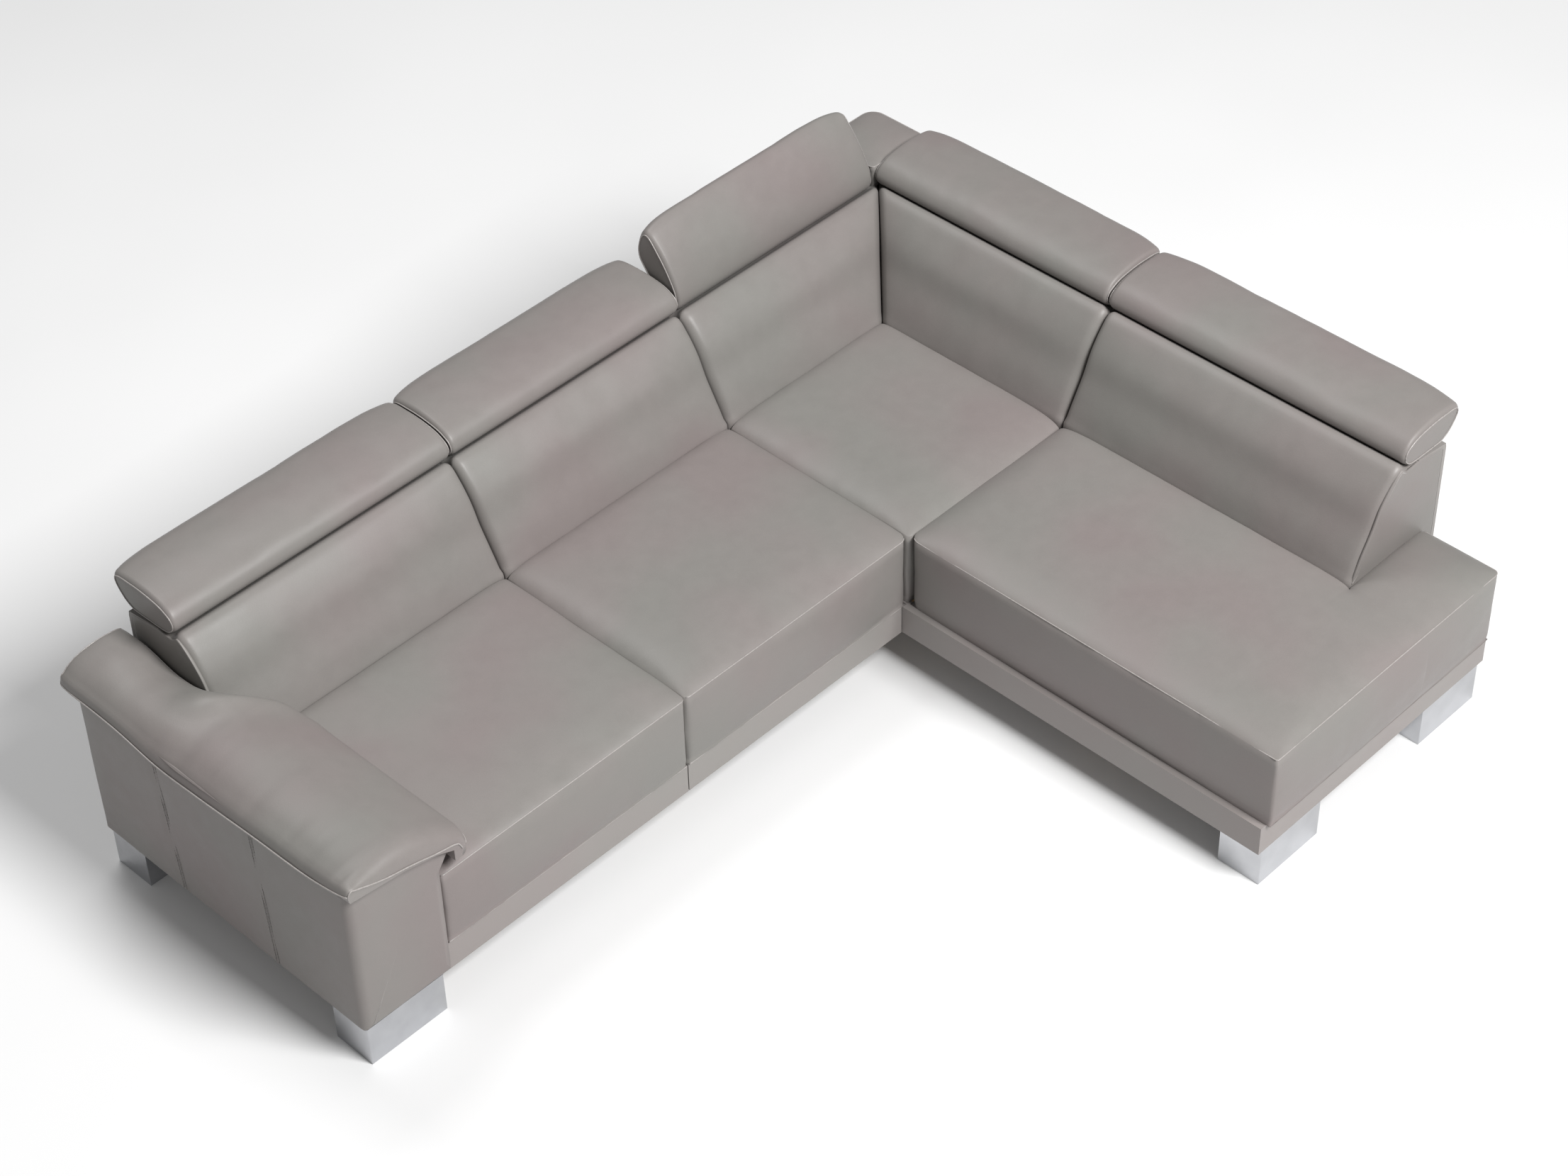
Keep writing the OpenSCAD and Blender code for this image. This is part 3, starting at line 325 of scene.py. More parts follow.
def even_path(path, step, closed=False):
    """Path resampled at even steps."""
    path = np.asarray(path, float)
    if closed:
        path = np.vstack([path, path[:1]])
    along = np.concatenate([[0], np.cumsum(np.linalg.norm(np.diff(path, axis=0), axis=1))])
    count = max(3, int(round(along[-1] / step)))
    at = np.linspace(0, along[-1], count + 1)
    out = np.column_stack([np.interp(at, along, path[:, k]) for k in range(3)])
    return out[:-1] if closed else out


def many(parts):
    """One set of vertices and faces from several."""
    verts, faces, base = [], [], 0
    for v, f in parts:
        verts.append(np.asarray(v))
        faces.extend(tuple(i + base for i in face) for face in f)
        base += len(v)
    return np.concatenate(verts), faces


def stitches(path, lift):
    """Row of short threads along a path in metres, each a bowed stitch that rises off the leather."""
    spots = even_path(path, sizes().stitch * 1.35)
    parts = []
    for a, b in zip(spots[:-1], spots[1:]):
        way = (b - a) / (np.linalg.norm(b - a) + 1e-12)
        half = way * sizes().stitch / 2
        mid = (a + b) / 2
        line = np.array([mid - half, mid - half * 0.55 + lift, mid + half * 0.55 + lift, mid + half])
        parts.append(tube(line, THREAD_RADIUS, sides=5))
    return many(parts)


def add(tree, kind, settings=None, links=None, stops=()):
    """New shader node with its settings, the sockets that feed its inputs, and the stops of its ramp."""
    node = tree.nodes.new("ShaderNode" + kind)
    for key, value in (settings or {}).items():
        if isinstance(key, str) and hasattr(node, key):
            setattr(node, key, value)
        else:
            node.inputs[key].default_value = value
    for key, socket in (links or {}).items():
        tree.links.new(socket, node.inputs[key])
    for number, (place, colour) in enumerate(stops):
        band = node.color_ramp.elements
        stop = band[number] if number < len(band) else band.new(place)
        stop.position = place
        stop.color = rgba(colour)
    return node


def finish(name):
    """Turns a function that builds a shader into one that gives the material of that name, made once."""
    def wrap(build):
        @functools.wraps(build)
        def made():
            material = bpy.data.materials.get(name)
            if material is None:
                material = bpy.data.materials.new(name)
                material.use_nodes = True
                tree = material.node_tree
                tree.nodes.clear()
                shader = build(tree, {"Vector": add(tree, "TexCoord").outputs["Object"]})
                add(tree, "OutputMaterial", links={"Surface": shader.outputs[0]})
            return material
        return made
    return wrap


def patterned(tree, pattern, stops, relief, settings, rough=None):
    """Shader of one pattern: its tones, its relief (strength, depth in metres) and its roughness."""
    tone = add(tree, "ValToRGB", links={"Fac": pattern}, stops=stops)
    bump = add(tree, "Bump", dict(zip(("Strength", "Distance"), relief)), {"Height": pattern})
    links = {"Base Color": tone.outputs["Color"], "Normal": bump.outputs["Normal"]}
    if rough:
        dull = add(tree, "MapRange", dict(zip(("To Min", "To Max"), rough)), {"Value": pattern})
        links["Roughness"] = dull.outputs[0]
    return add(tree, "BsdfPrincipled", settings, links)


@finish("Corrected grain leather")
def corrected_leather(tree, place):
    """Corrected-grain cowhide, embossed with a fine pebble and pigment sprayed.

    The spray gives an even taupe with broad rosy and greenish clouds, the emboss a fine pebble whose
    tops shine a little, and sharp edges are painted paler: a painted highlight along them."""
    # clouds of the dye, about 400 mm across
    clouds = add(tree, "TexNoise", {"Scale": 1 / 0.40, "Detail": 2.0, "Roughness": 0.45}, place)
    base = add(tree, "ValToRGB", links={"Fac": clouds.outputs["Fac"]}, stops=(
        (0.34, "7e7c78"), (0.50, colours().leather), (0.64, colours().leather_warm)))
    # mottling of the pigment, about 45 mm across
    mottle = add(tree, "TexNoise", {"Scale": 1 / 0.045, "Detail": 4.0, "Roughness": 0.6}, place)
    mottled = add(tree, "Mix", {"data_type": "RGBA", "blend_type": "MULTIPLY", "Factor": 0.10},
                  {6: base.outputs["Color"], 7: mottle.outputs["Fac"]})
    # real pebble is near 1 mm and too fine to show, so it is drawn 2.2 mm across
    pebble = add(tree, "TexVoronoi", {"feature": "SMOOTH_F1", "Scale": 1 / 0.0022, "Smoothness": 0.6},
                 place)
    # hair-fine creases of the hide, about 14 mm apart
    crease = add(tree, "TexNoise", {"Scale": 1 / 0.014, "Detail": 6.0, "Roughness": 0.62, "Distortion": 0.4},
                 place)
    # valleys of the pebble hold a little more pigment
    valley = add(tree, "MapRange", {"From Min": 0.0, "From Max": 0.6, "To Min": 1.0, "To Max": 0.955},
                 {"Value": pebble.outputs["Distance"]})
    worn = add(tree, "Mix", {"data_type": "RGBA", "blend_type": "MULTIPLY", "Factor": 1.0},
               {6: mottled.outputs[2], 7: valley.outputs[0]})
    # painted highlight: the colour turns paler where the surface is sharply convex, along every edge
    edge = add(tree, "MapRange", {"From Min": 0.515, "From Max": 0.60, "To Min": 0.0, "To Max": 0.35},
               {"Value": add(tree, "NewGeometry").outputs["Pointiness"]})
    colour = add(tree, "Mix", {"data_type": "RGBA", "blend_type": "MIX", 7: rgba("a09b98")},
                 {0: edge.outputs[0], 6: worn.outputs[2]})
    shine = add(tree, "MapRange", {"From Min": 0.3, "From Max": 0.7, "To Min": 0.40, "To Max": 0.50},
                {"Value": mottle.outputs["Fac"]})
    fine = add(tree, "Bump", {"Strength": 0.35, "Distance": 0.00025, "invert": True},
               {"Height": pebble.outputs["Distance"]})
    bump = add(tree, "Bump", {"Strength": 0.30, "Distance": 0.0006},
               {"Height": crease.outputs["Fac"], "Normal": fine.outputs["Normal"]})
    return add(tree, "BsdfPrincipled",
               {"IOR": 1.38, "Coat Weight": 0.03, "Coat Roughness": 0.35, "Sheen Weight": 0.03,
                "Sheen Roughness": 0.5},
               {"Base Color": colour.outputs[2], "Roughness": shine.outputs[0],
                "Normal": bump.outputs["Normal"]})


@finish("Skived piping leather")
def piping_leather(tree, place):
    """Thin-skived leather wrapped round a cord: the same hide, pulled tight, so it shines more and shows
    fine ribs of the cord. Its tones are painted paler than the hide's, a painted highlight along the seams."""
    # the cord's lay shows through about every 5 mm
    lay = add(tree, "TexNoise", {"Scale": 1 / 0.005, "Detail": 3.0}, place).outputs["Fac"]
    # both tones lie paler than the hide: a painted highlight along every piping
    return patterned(tree, lay, ((0.3, "8c8784"), (0.7, "a19c99")), (0.25, 0.0003),
                     {"IOR": 1.5, "Roughness": 0.38, "Coat Weight": 0.1})


@finish("Bonded polyester thread")
def bonded_thread(tree, place):
    """Bonded polyester sewing thread, twisted from three plies, which gives fine slanted ribs."""
    # the twist is too fine to show, and reads as bands of tone about 9 mm apart along a row
    twist = add(tree, "TexWave", {"wave_type": "BANDS", "bands_direction": "DIAGONAL",
                                  "Scale": 1 / 0.024, "Distortion": 0.6}, place).outputs["Fac"]
    return patterned(tree, twist, ((0.2, "6f6a67"), (0.8, colours().thread)), (0.4, 0.0002),
                     {"IOR": 1.55, "Roughness": 0.55, "Sheen Weight": 0.2})


@finish("Satin chrome plate")
def satin_chrome(tree, place):
    """Nickel-chrome plated steel sheet, brushed before plating: bright, with faint brush lines and
    a slightly duller film where hands have been."""
    # brush lines run level: 1.5 mm apart, drawn long
    stretched = add(tree, "Mapping", {"Scale": (4.0, 4.0, 1 / 0.0015)}, place)
    lines = add(tree, "TexNoise", {"Scale": 1.0, "Detail": 3.0, "Roughness": 0.7},
                {"Vector": stretched.outputs[0]})
    film = add(tree, "TexNoise", {"Scale": 1 / 0.06, "Detail": 3.0}, place)
    tone = add(tree, "ValToRGB", links={"Fac": film.outputs["Fac"]},
               stops=((0.3, "b2b3b6"), (0.7, colours().chrome)))
    dull = add(tree, "MapRange", {"From Min": 0.3, "From Max": 0.7, "To Min": 0.16, "To Max": 0.26},
               {"Value": lines.outputs["Fac"]})
    bump = add(tree, "Bump", {"Strength": 0.08, "Distance": 0.00005}, {"Height": lines.outputs["Fac"]})
    return add(tree, "BsdfPrincipled", {"Metallic": 1.0},
               {"Base Color": tone.outputs["Color"], "Roughness": dull.outputs[0],
                "Normal": bump.outputs["Normal"]})


@finish("Zinc plated steel")
def zinc_steel(tree, place):
    """Mild steel strip, zinc plated and rolled: dull blue-grey with a fine spangle."""
    # spangle of the zinc, about 3 mm across
    spangle = add(tree, "TexVoronoi", {"Scale": 1 / 0.003}, place).outputs["Distance"]
    return patterned(tree, spangle, ((0.0, "a9adb1"), (0.7, "8b8f94")), (0.1, 0.0001), {"Metallic": 1.0},
                     rough=(0.34, 0.46))


@finish("Moulded polypropylene")
def moulded_plastic(tree, place):
    """Polypropylene, injection moulded and spark-eroded: near black with a fine matt texture."""
    # eroded texture near 0.4 mm, drawn 1 mm to show
    texture = add(tree, "TexNoise", {"Scale": 1 / 0.001, "Detail": 2.0}, place).outputs["Fac"]
    return patterned(tree, texture, ((0.3, "242426"), (0.7, "303032")), (0.3, 0.0002),
                     {"IOR": 1.49, "Roughness": 0.6})


@finish("Planed pine")
def planed_pine(tree, place):
    """Pine, planed and left bare: pale yellow with bands of darker late wood."""
    drawn = add(tree, "Mapping", {"Scale": (1.0, 1.0, 6.0)}, place)
    # flat-sawn boards show their rings about 25 mm apart, which is pi / 10 over the wave's scale
    rings = add(tree, "TexWave", {"Scale": 12.5, "Distortion": 5.0, "Detail": 3.0},
                {"Vector": drawn.outputs[0]}).outputs["Fac"]
    return patterned(tree, rings, ((0.2, "d8ba8c"), (0.9, "b98f5c")), (0.15, 0.0003),
                     {"IOR": 1.5, "Roughness": 0.6})


@finish("Cut polyether foam")
def cut_foam(tree, place):
    """Polyether foam, cut on a saw: pale yellow with open cells about 1 mm across."""
    cells = add(tree, "TexVoronoi", {"Scale": 1 / 0.001}, place).outputs["Distance"]
    return patterned(tree, cells, ((0.0, "cdbf8a"), (0.6, "ece3bb")), (0.5, 0.0004),
                     {"IOR": 1.5, "Roughness": 0.85, "Sheen Weight": 0.2})


@finish("Paper sweep")
def studio_floor(tree, place):
    """Seamless paper sweep: near white, with a faint unevenness of tone."""
    tone = add(tree, "TexNoise", {"Scale": 0.8, "Detail": 2.0}, place)
    colour = add(tree, "ValToRGB", links={"Fac": tone.outputs["Fac"]},
                 stops=((0.3, "dadada"), (0.7, colours().floor))).outputs["Color"]
    return add(tree, "BsdfPrincipled", {"IOR": 1.45, "Roughness": 0.9, "Emission Strength": 0.05},
               {"Base Color": colour, "Emission Color": colour})


def smooth_table(at, rows, column=1):
    """Value at a place of a smooth curve through a column of a table, flat beyond the table's ends."""
    places, values = (np.array([row[k] for row in rows], float) for k in (0, column))
    slopes = np.gradient(values, places)
    at = np.clip(at, places[0], places[-1])
    k = np.clip(np.searchsorted(places, at, side="right") - 1, 0, len(places) - 2)
    span = places[k + 1] - places[k]
    a, b, c, e = hermite((at - places[k]) / span)
    return a * values[k] + b * span * slopes[k] + c * values[k + 1] + e * span * slopes[k + 1]


def spaced(low, high, step):
    """Places between two edges, close together near both."""
    near = [0, 1.5, 4, 8, 14, 22, 32, 44]
    if high - low < 110:
        near = [v for v in near if v < (high - low) / 3]
    inner = (high - low) - 2 * near[-1]
    count = max(2, int(round(inner / step)))
    mid = [low + near[-1] + inner * k / count for k in range(1, count)]
    return [low + v for v in near] + mid + [high - v for v in reversed(near)]


def inside(plan, x, y):
    """Whether a point lies within a plan outline."""
    hit = False
    for (x0, y0), (x1, y1) in zip(plan, plan[1:] + plan[:1]):
        if (y0 > y) != (y1 > y) and x < x0 + (y - y0) / (y1 - y0) * (x1 - x0):
            hit = not hit
    return hit


def edge_distances(plan, points):
    """Distance of each point to each side of a plan, and how far along that side it lies from 0 to 1."""
    out, along = [], []
    for a, b in zip(plan, plan[1:] + plan[:1]):
        a, b = np.array(a, float), np.array(b, float)
        t = np.clip(((points - a) @ (b - a)) / ((b - a) @ (b - a)), 0, 1)
        out.append(np.linalg.norm(points - (a + t[:, None] * (b - a)), axis=1))
        along.append(t)
    return np.array(out), np.array(along)


def round_corners(plan, radii, points):
    """Points of a plan with its outward corners rounded, each to its own radius."""
    out = points.copy()
    n = len(plan)
    for i in range(n):
        before, here, after = (np.array(plan[(i + k) % n], float) for k in (-1, 0, 1))
        a, b = ((p - here) / np.linalg.norm(p - here) for p in (before, after))
        if a[0] * b[1] - a[1] * b[0] > 0 or radii[i] <= 0:
            continue
        r = radii[i]
        u, v = (points - here) @ a, (points - here) @ b
        near = (u < r) & (v < r) & (u > -1e-6) & (v > -1e-6)
        s, t = 1 - u[near] / r, 1 - v[near] / r
        s2, t2 = s * np.sqrt(1 - t**2 / 2), t * np.sqrt(1 - s**2 / 2)
        out[near] = here + np.outer(r * (1 - s2), a) + np.outer(r * (1 - t2), b)
    return out


def plan_grid(plan, step):
    """Points of a grid over a plan, the grid's faces, and the indices of its outline in order."""
    gx, gy = (sorted({round(v, 3) for a, b in zip(edges, edges[1:]) for v in spaced(a, b, step)})
              for edges in (sorted({p[k] for p in plan}) for k in (0, 1)))
    cells = [(i, j) for i in range(len(gx) - 1) for j in range(len(gy) - 1)
             if inside(plan, (gx[i] + gx[i + 1]) / 2, (gy[j] + gy[j + 1]) / 2)]
    index = {}
    for i, j in cells:
        for corner in ((i, j), (i + 1, j), (i + 1, j + 1), (i, j + 1)):
            index.setdefault(corner, len(index))
    faces = [(index[i, j], index[i + 1, j], index[i + 1, j + 1], index[i, j + 1]) for i, j in cells]
    # the outline is made of the edges that only one face has
    edges = dict.fromkeys((a, b) for f in faces for a, b in zip(f, f[1:] + f[:1]))
    after = {a: b for a, b in edges if (b, a) not in edges}
    loop = [next(iter(after))]
    while after[loop[-1]] != loop[0]:
        loop.append(after[loop[-1]])
    return np.array([(gx[i], gy[j]) for i, j in index]), faces, loop


def soft_block(plan, low, seam, crown, sides, radii, swell, foot_draw, seed, rows=15, step=13.0):
    """Cushion over a right-angled plan in millimetres, listed anticlockwise.

    Each side has (height share at its edge, reach of its shoulder, share of the panel's swell).
    Returns vertices, faces, the ring of the top seam, the side that each of its points is on, and the
    distance of each vertex to the seams."""
    flat, top_faces, loop = plan_grid(plan, step)
    away, along = edge_distances(plan, flat)
    rise = np.ones(len(flat))
    for k, (share, reach, _) in enumerate(sides):
        rise *= share + (1 - share) * (1 - np.exp(-(away[k] / reach) ** 0.8))
    rounded = round_corners(plan, radii, flat)
    near = away.min(axis=0)
    # gathers run in from the seams
    pull = np.exp(-near / 26.0) * (1 - np.exp(-near / 3.0))
    z = seam + crown * rise + pull * 1.1 * soft_noise(xyz(*flat.T, 0.0) / 1000, 0.019, seed)
    free = np.array([s[2] for s in sides])
    side_of = away[:, loop].argmin(axis=0)
    t = along[side_of, loop]
    out_share = free[side_of] * 4 * t * (1 - t)
    ring = rounded[loop]
    ahead = np.roll(ring, -1, axis=0) - np.roll(ring, 1, axis=0)
    normal = np.column_stack([ahead[:, 1], -ahead[:, 0]])
    normal /= np.linalg.norm(normal, axis=1)[:, None]
    height = seam - low
    verts = [xyz(*rounded.T, z)]
    seam_pull = [near]
    n, base = len(loop), len(flat)
    courses = [loop]
    for r in range(1, rows + 1):
        # rows lie closer together around half the height
        h = 1 - r / rows
        h = h + 0.10 * math.sin(2 * math.pi * h)
        up = h * height
        # panels swell most at half their height, are drawn in at the foot and a little under the seam,
        # and pucker beside both
        share = 0.3 * min(1.0, up / 9.0) + 0.7 * math.sin(math.pi * min(1, max(0, h))) ** 0.9
        draw = foot_draw * math.exp(-up / 5.0) + 1.5 * math.exp(-(height - up) / 4.0)
        rough = np.exp(-min(up, height - up) / 24.0) * 0.8
        wave = soft_noise(xyz(*ring.T, up) / 1000, 0.024, seed + 3)
        offset = swell * share * out_share - draw + rough * wave * (0.3 + out_share)
        # a side with no share of the swell stays flat
        offset[free[side_of] == 0] = -draw - 0.4
        p = ring + normal * offset[:, None]
        verts.append(xyz(*p.T, low + up))
        seam_pull.append(np.full(n, min(up, height - up)))
        courses.append(list(range(base, base + n)))
        base += n
    faces = top_faces + [(upper[(i + 1) % n], upper[i], lower[i], lower[(i + 1) % n])
                         for upper, lower in zip(courses, courses[1:]) for i in range(n)]
    # the floor of the cushion repeats the grid within the last row
    number = dict(zip(loop, courses[-1]))
    inner = [i for i in range(len(flat)) if i not in number]
    number.update(zip(inner, range(base, base + len(inner))))
    verts.append(xyz(*flat[inner].T, low))
    seam_pull.append(np.zeros(len(inner)))
    faces += [tuple(number[i] for i in reversed(f)) for f in top_faces]
    return np.concatenate(verts), faces, xyz(*ring.T, z[loop]), side_of, np.concatenate(seam_pull)


def coordinates(mesh, kind="co"):
    """Coordinates of a mesh's vertices, or their normals."""
    out = np.empty(len(mesh.vertices) * 3)
    (mesh.vertices if kind == "co" else mesh.vertex_normals).foreach_get(kind, out)
    return out.reshape(-1, 3)


def reshape(mesh, co):
    """Puts a mesh's vertices at these coordinates."""
    mesh.vertices.foreach_set("co", co.ravel())
    mesh.update()


def held(piece, distance):
    """Holds a piece's vertices at its seams by a group, given their distances to them in millimetres."""
    group = piece.vertex_groups.new(name="seams")
    for i, d in enumerate(distance):
        group.add([i], float(np.exp(-d / 5.0)), "REPLACE")


def evened(mesh, move, rounds=30, kept=0.12):
    """Moves averaged with their neighbours' several times, with a small share of the fine ones kept."""
    edges = np.empty(len(mesh.edges) * 2, np.int32)
    mesh.edges.foreach_get("vertices", edges)
    a, b = edges.reshape(-1, 2).T
    links = np.bincount(np.concatenate([a, b]), minlength=len(move))[:, None]
    out = move
    for _ in range(rounds):
        total = np.column_stack([np.bincount(a, out[b, k], len(move)) + np.bincount(b, out[a, k], len(move))
                                 for k in range(3)])
        out = (out + total) / (links + 1)
    return out * (1 - kept) + move * kept


# thick hide as Blender's Cloth takes it, with the group that is held
HIDE = {
    "quality": 4, "mass": 0.3, "tension_stiffness": 20.0, "compression_stiffness": 20.0,
    "shear_stiffness": 8.0, "bending_stiffness": 12.0, "shrink_min": -0.004, "use_pressure": True,
    "vertex_group_mass": "seams",
}


def settle_filling(pieces, pressure, cap, frames=20):
    """Cloth pass over padded pieces: the filling presses the leather out between its seams.

    Thick hide bends in broad swells, so the moves are evened out. Every move is limited to the cap,
    and the modifier is gone once its result is in the mesh."""
    scene = bpy.context.scene
    for piece in pieces:
        cloth = piece.modifiers.new("Filling", "CLOTH")
        for key, value in HIDE.items():
            setattr(cloth.settings, key, value)
        cloth.settings.uniform_pressure_force = pressure
        cloth.settings.effector_weights.gravity = 0.0
        cloth.collision_settings.use_collision = False
        cloth.point_cache.frame_start = 1
        cloth.point_cache.frame_end = frames
    for number in range(1, frames + 1):
        scene.frame_set(number)
    graph = bpy.context.evaluated_depsgraph_get()
    settled = []
    for piece in pieces:
        before, after = coordinates(piece.data), coordinates(piece.evaluated_get(graph).data)
        move = evened(piece.data, after - before)
        size = np.linalg.norm(move, axis=1)[:, None]
        move *= np.where(size > 0, cap * np.tanh(size / cap) / np.maximum(size, 1e-9), 0)
        settled.append(before + move)
    for piece, co in zip(pieces, settled):
        piece.modifiers.remove(piece.modifiers["Filling"])
        reshape(piece.data, co)
    scene.frame_set(1)


def soften(piece, amount, size, seed, low=None, free=1.0):
    """Pushes a piece's vertices gently in and out along their normals, by smooth noise of that size."""
    co = coordinates(piece.data)
    push = (soft_noise(co, size, seed) + soft_noise(co, size / 3.1, seed + 5) * 0.35) * amount * free
    if low is not None:
        push *= np.clip((co[:, 2] - low) / 0.02, 0, 1)
    reshape(piece.data, co + coordinates(piece.data, "vector") * push[:, None])


def settle(piece, body, *nodes, fill=None):
    """Hangs a finished piece on its body, in place of these CAD nodes."""
    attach(piece, body)
    if nodes:
        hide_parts(*nodes)


def welt(name, path, kind, body="sofa", closed=False):
    """Piping of this kind along a path in metres."""
    verts, faces = tube(even_path(path, 0.006, closed), PIPING[kind] / 2, 8, closed)
    settle(mesh_piece(name, verts, faces, piping_leather()), body)


def sewn(name, path, way):
    """Row of stitches along a path in metres, lifted off its leather that way."""
    verts, faces = stitches(path, np.array(way, float) * THREAD_LIFT)
    settle(mesh_piece(name, verts, faces, bonded_thread()), "sofa")


# seats: plan, sides and corner radii as soft_block takes them, the sides whose seam shows, and how far
# the foot is drawn in
SEATS = {
    "seat_cushion_a": (
        [(-2048, -593), (-1305.5, -593), (-1305.5, -0.6), (-2048, -0.6)],
        [(0, 34, 1), (0.1, 20, 0), (0.75, 14, 0), (0.1, 20, 0)], (10, 12, 0, 0), (0,), 2.5),
    "seat_cushion_b": (
        [(-1302.5, -593), (-555.5, -593), (-555.5, -0.6), (-1302.5, -0.6)],
        [(0, 34, 1), (0.1, 22, 0), (0.75, 14, 0), (0.1, 20, 0)], (12, 24, 0, 0), (0,), 2.5),
    "seat_cushion_corner": (
        [(-552.5, -593.5), (-0.6, -593.5), (-0.6, -0.6), (-552.5, -0.6)],
        [(0, 30, 0), (0.75, 14, 0), (0.75, 14, 0), (0.1, 22, 0)], (12, 0, 0, 0), (), 3),
    "seat_cushion_chaise": (
        [(-552.5, -1695), (292, -1695), (292, -1477), (-0.6, -1477), (-0.6, -596.5), (-552.5, -596.5)],
        [(0, 34, 1), (0, 34, 1), (0.4, 18, 0), (0.75, 14, 0), (0, 30, 0), (0, 32, 0.3)],
        (5, 14, 8, 0, 0, 26), (0, 1, 5), 2.5),
}


def dress_seats():
    """Four seat cushions with a crowned top, panels that swell, and a raised seam at their free edges."""
    pieces = []
    for number, (node, (plan, sides, radii, shown, foot_draw)) in enumerate(SEATS.items()):
        verts, faces, ring, side_of, pull = soft_block(
            plan, low=PLINTH_TOP + 0.4, seam=SEAT_SEAM, crown=sizes().crown * 1000, sides=sides, radii=radii,
            swell=sizes().seat_swell * 1000, foot_draw=foot_draw, seed=number + 1)
        piece = mesh_piece(node + "_leather", in_row(verts), faces, corrected_leather())
        held(piece, pull)
        soften(piece, sizes().softness, 0.16, number + 11, (PLINTH_TOP + 12) / 1000)
        settle(piece, "sofa", node, fill=0.85)
        pieces.append(piece)
        run = np.isin(side_of, shown)
        if run.any():
            # the shown sides follow one another once the ring starts just after a hidden side
            start = next(i for i in range(len(run)) if run[i] and not run[i - 1])
            order = [(start + k) % len(run) for k in range(int(run.sum()))]
            path = in_row(ring[order] + np.array([0, 0, 0.4]))
            welt(node + "_seam", path, "seam")
    # the lower edge of the two front panels is sewn along the plinth; the welt there is pale leather that
    # paints the highlight the plinth's top edge catches
    for letter, x0, x1 in (("a", -2045.0, -1308.0), ("b", -1300.0, -576.0)):
        path = xyz(np.linspace(x0, x1, 40), -590.6, PLINTH_TOP + 1.0)
        welt("front_panel_%s_hem" % letter, in_row(path), "hem_highlight")
    settle_filling(pieces, 4.0, 0.005)


# side view of a back: depth, height, shares of the ends' draw-in and swell, and whether a corner is sharp
BACK_SECTION = (
    (5.6, 199.4, 0, 0, 1), (232, 199.4, 0, 0, 1), (232, 666.6, 0, 0, 1), (208, 666.6, 0.6, 0, 0),
    (200, 668, 0.8, 0, 0), (190.4, 672.4, 1, 0, 0), (181.5, 679.2, 1, 0, 0), (175, 685, 1, 0, 0),
    (168, 687.6, 1, 0, 0), (159, 686, 1, 0, 0), (146, 678, 1, 0.1, 0), (130, 663, 1, 0.4, 0),
    (108, 638, 1, 0.7, 0), (84, 603, 1, 1, 0), (60.4, 550, 1, 1, 0), (29.3, 493.7, 1, 1, 0),
    (8, 447, 1, 0.5, 0), (2.2, 430, 0.6, 0.1, 0), (3.5, 412, 0.4, 0, 0))


def dress_backs():
    """Five back cushions, swept along their wing with rounded ends; the two at the corner meet in a mitre."""
    loop = curve_through(BACK_SECTION, 11.0)
    # the crest that cups the headrest's nose keeps its shape
    nose = np.hypot(loop[:, 0] - HINGE_D, loop[:, 1] - HINGE_Z)
    loose = np.clip(loop[:, 2] * 1.5, 0, 1) * np.clip((nose - 52.0) / 25.0, 0, 1)
    pieces = []
    for number, (wing, x0, x1, low_mitre, high_mitre) in enumerate(BACK_ROWS):
        letter = "abcde"[number]
        verts, faces, seams, spare = sweep(loop, loose, x0, x1, edge=20.0, swell=8.0,
                                           puff=1.6 if letter == "e" else 1.0, mitres=(low_mitre, high_mitre))
        if letter == "a":
            verts = over_the_arm(verts)
        piece = mesh_piece("back_cushion_%s_leather" % letter, in_row(verts, wing), faces,
                           corrected_leather())
        held(piece, spare)
        soften(piece, sizes().softness * 1.3, 0.19, number + 21, free=np.clip(spare / 30, 0, 1))
        settle(piece, "sofa", "back_cushion_" + letter, fill=0.8)
        pieces.append(piece)
        if letter == "e":
            ring = seams[1] + np.array([1.2, 0, 0])
            path = ring[(ring[:, 1] < 186) & (ring[:, 2] > 425)]
            welt("back_cushion_e_piping", in_row(path, wing), "back end")
    settle_filling(pieces, 3.0, 0.005)


def arm_top(x):
    """Height of the arm's top at x."""
    return np.interp(x, *zip(*ARM_TOP))


def over_the_arm(verts):
    """The first back cushion lies over the arm: what is above the arm's body is lifted clear of it."""
    out = verts.copy()
    clear = -2021
    top = np.interp(out[:, 0], *zip(*ARM_TOP, (clear, PLINTH_TOP))) + 1.5
    below = (out[:, 0] < clear) & (out[:, 2] < top)
    # depth of the back's face at that height
    face = np.interp(top, [413, 447, 493.7, 548.4, 599], [0.6, 8, 29.3, 60.4, 87])
    out[below, 1] = np.maximum(out[below, 1], face[below])
    out[below, 2] = top[below]
    return out


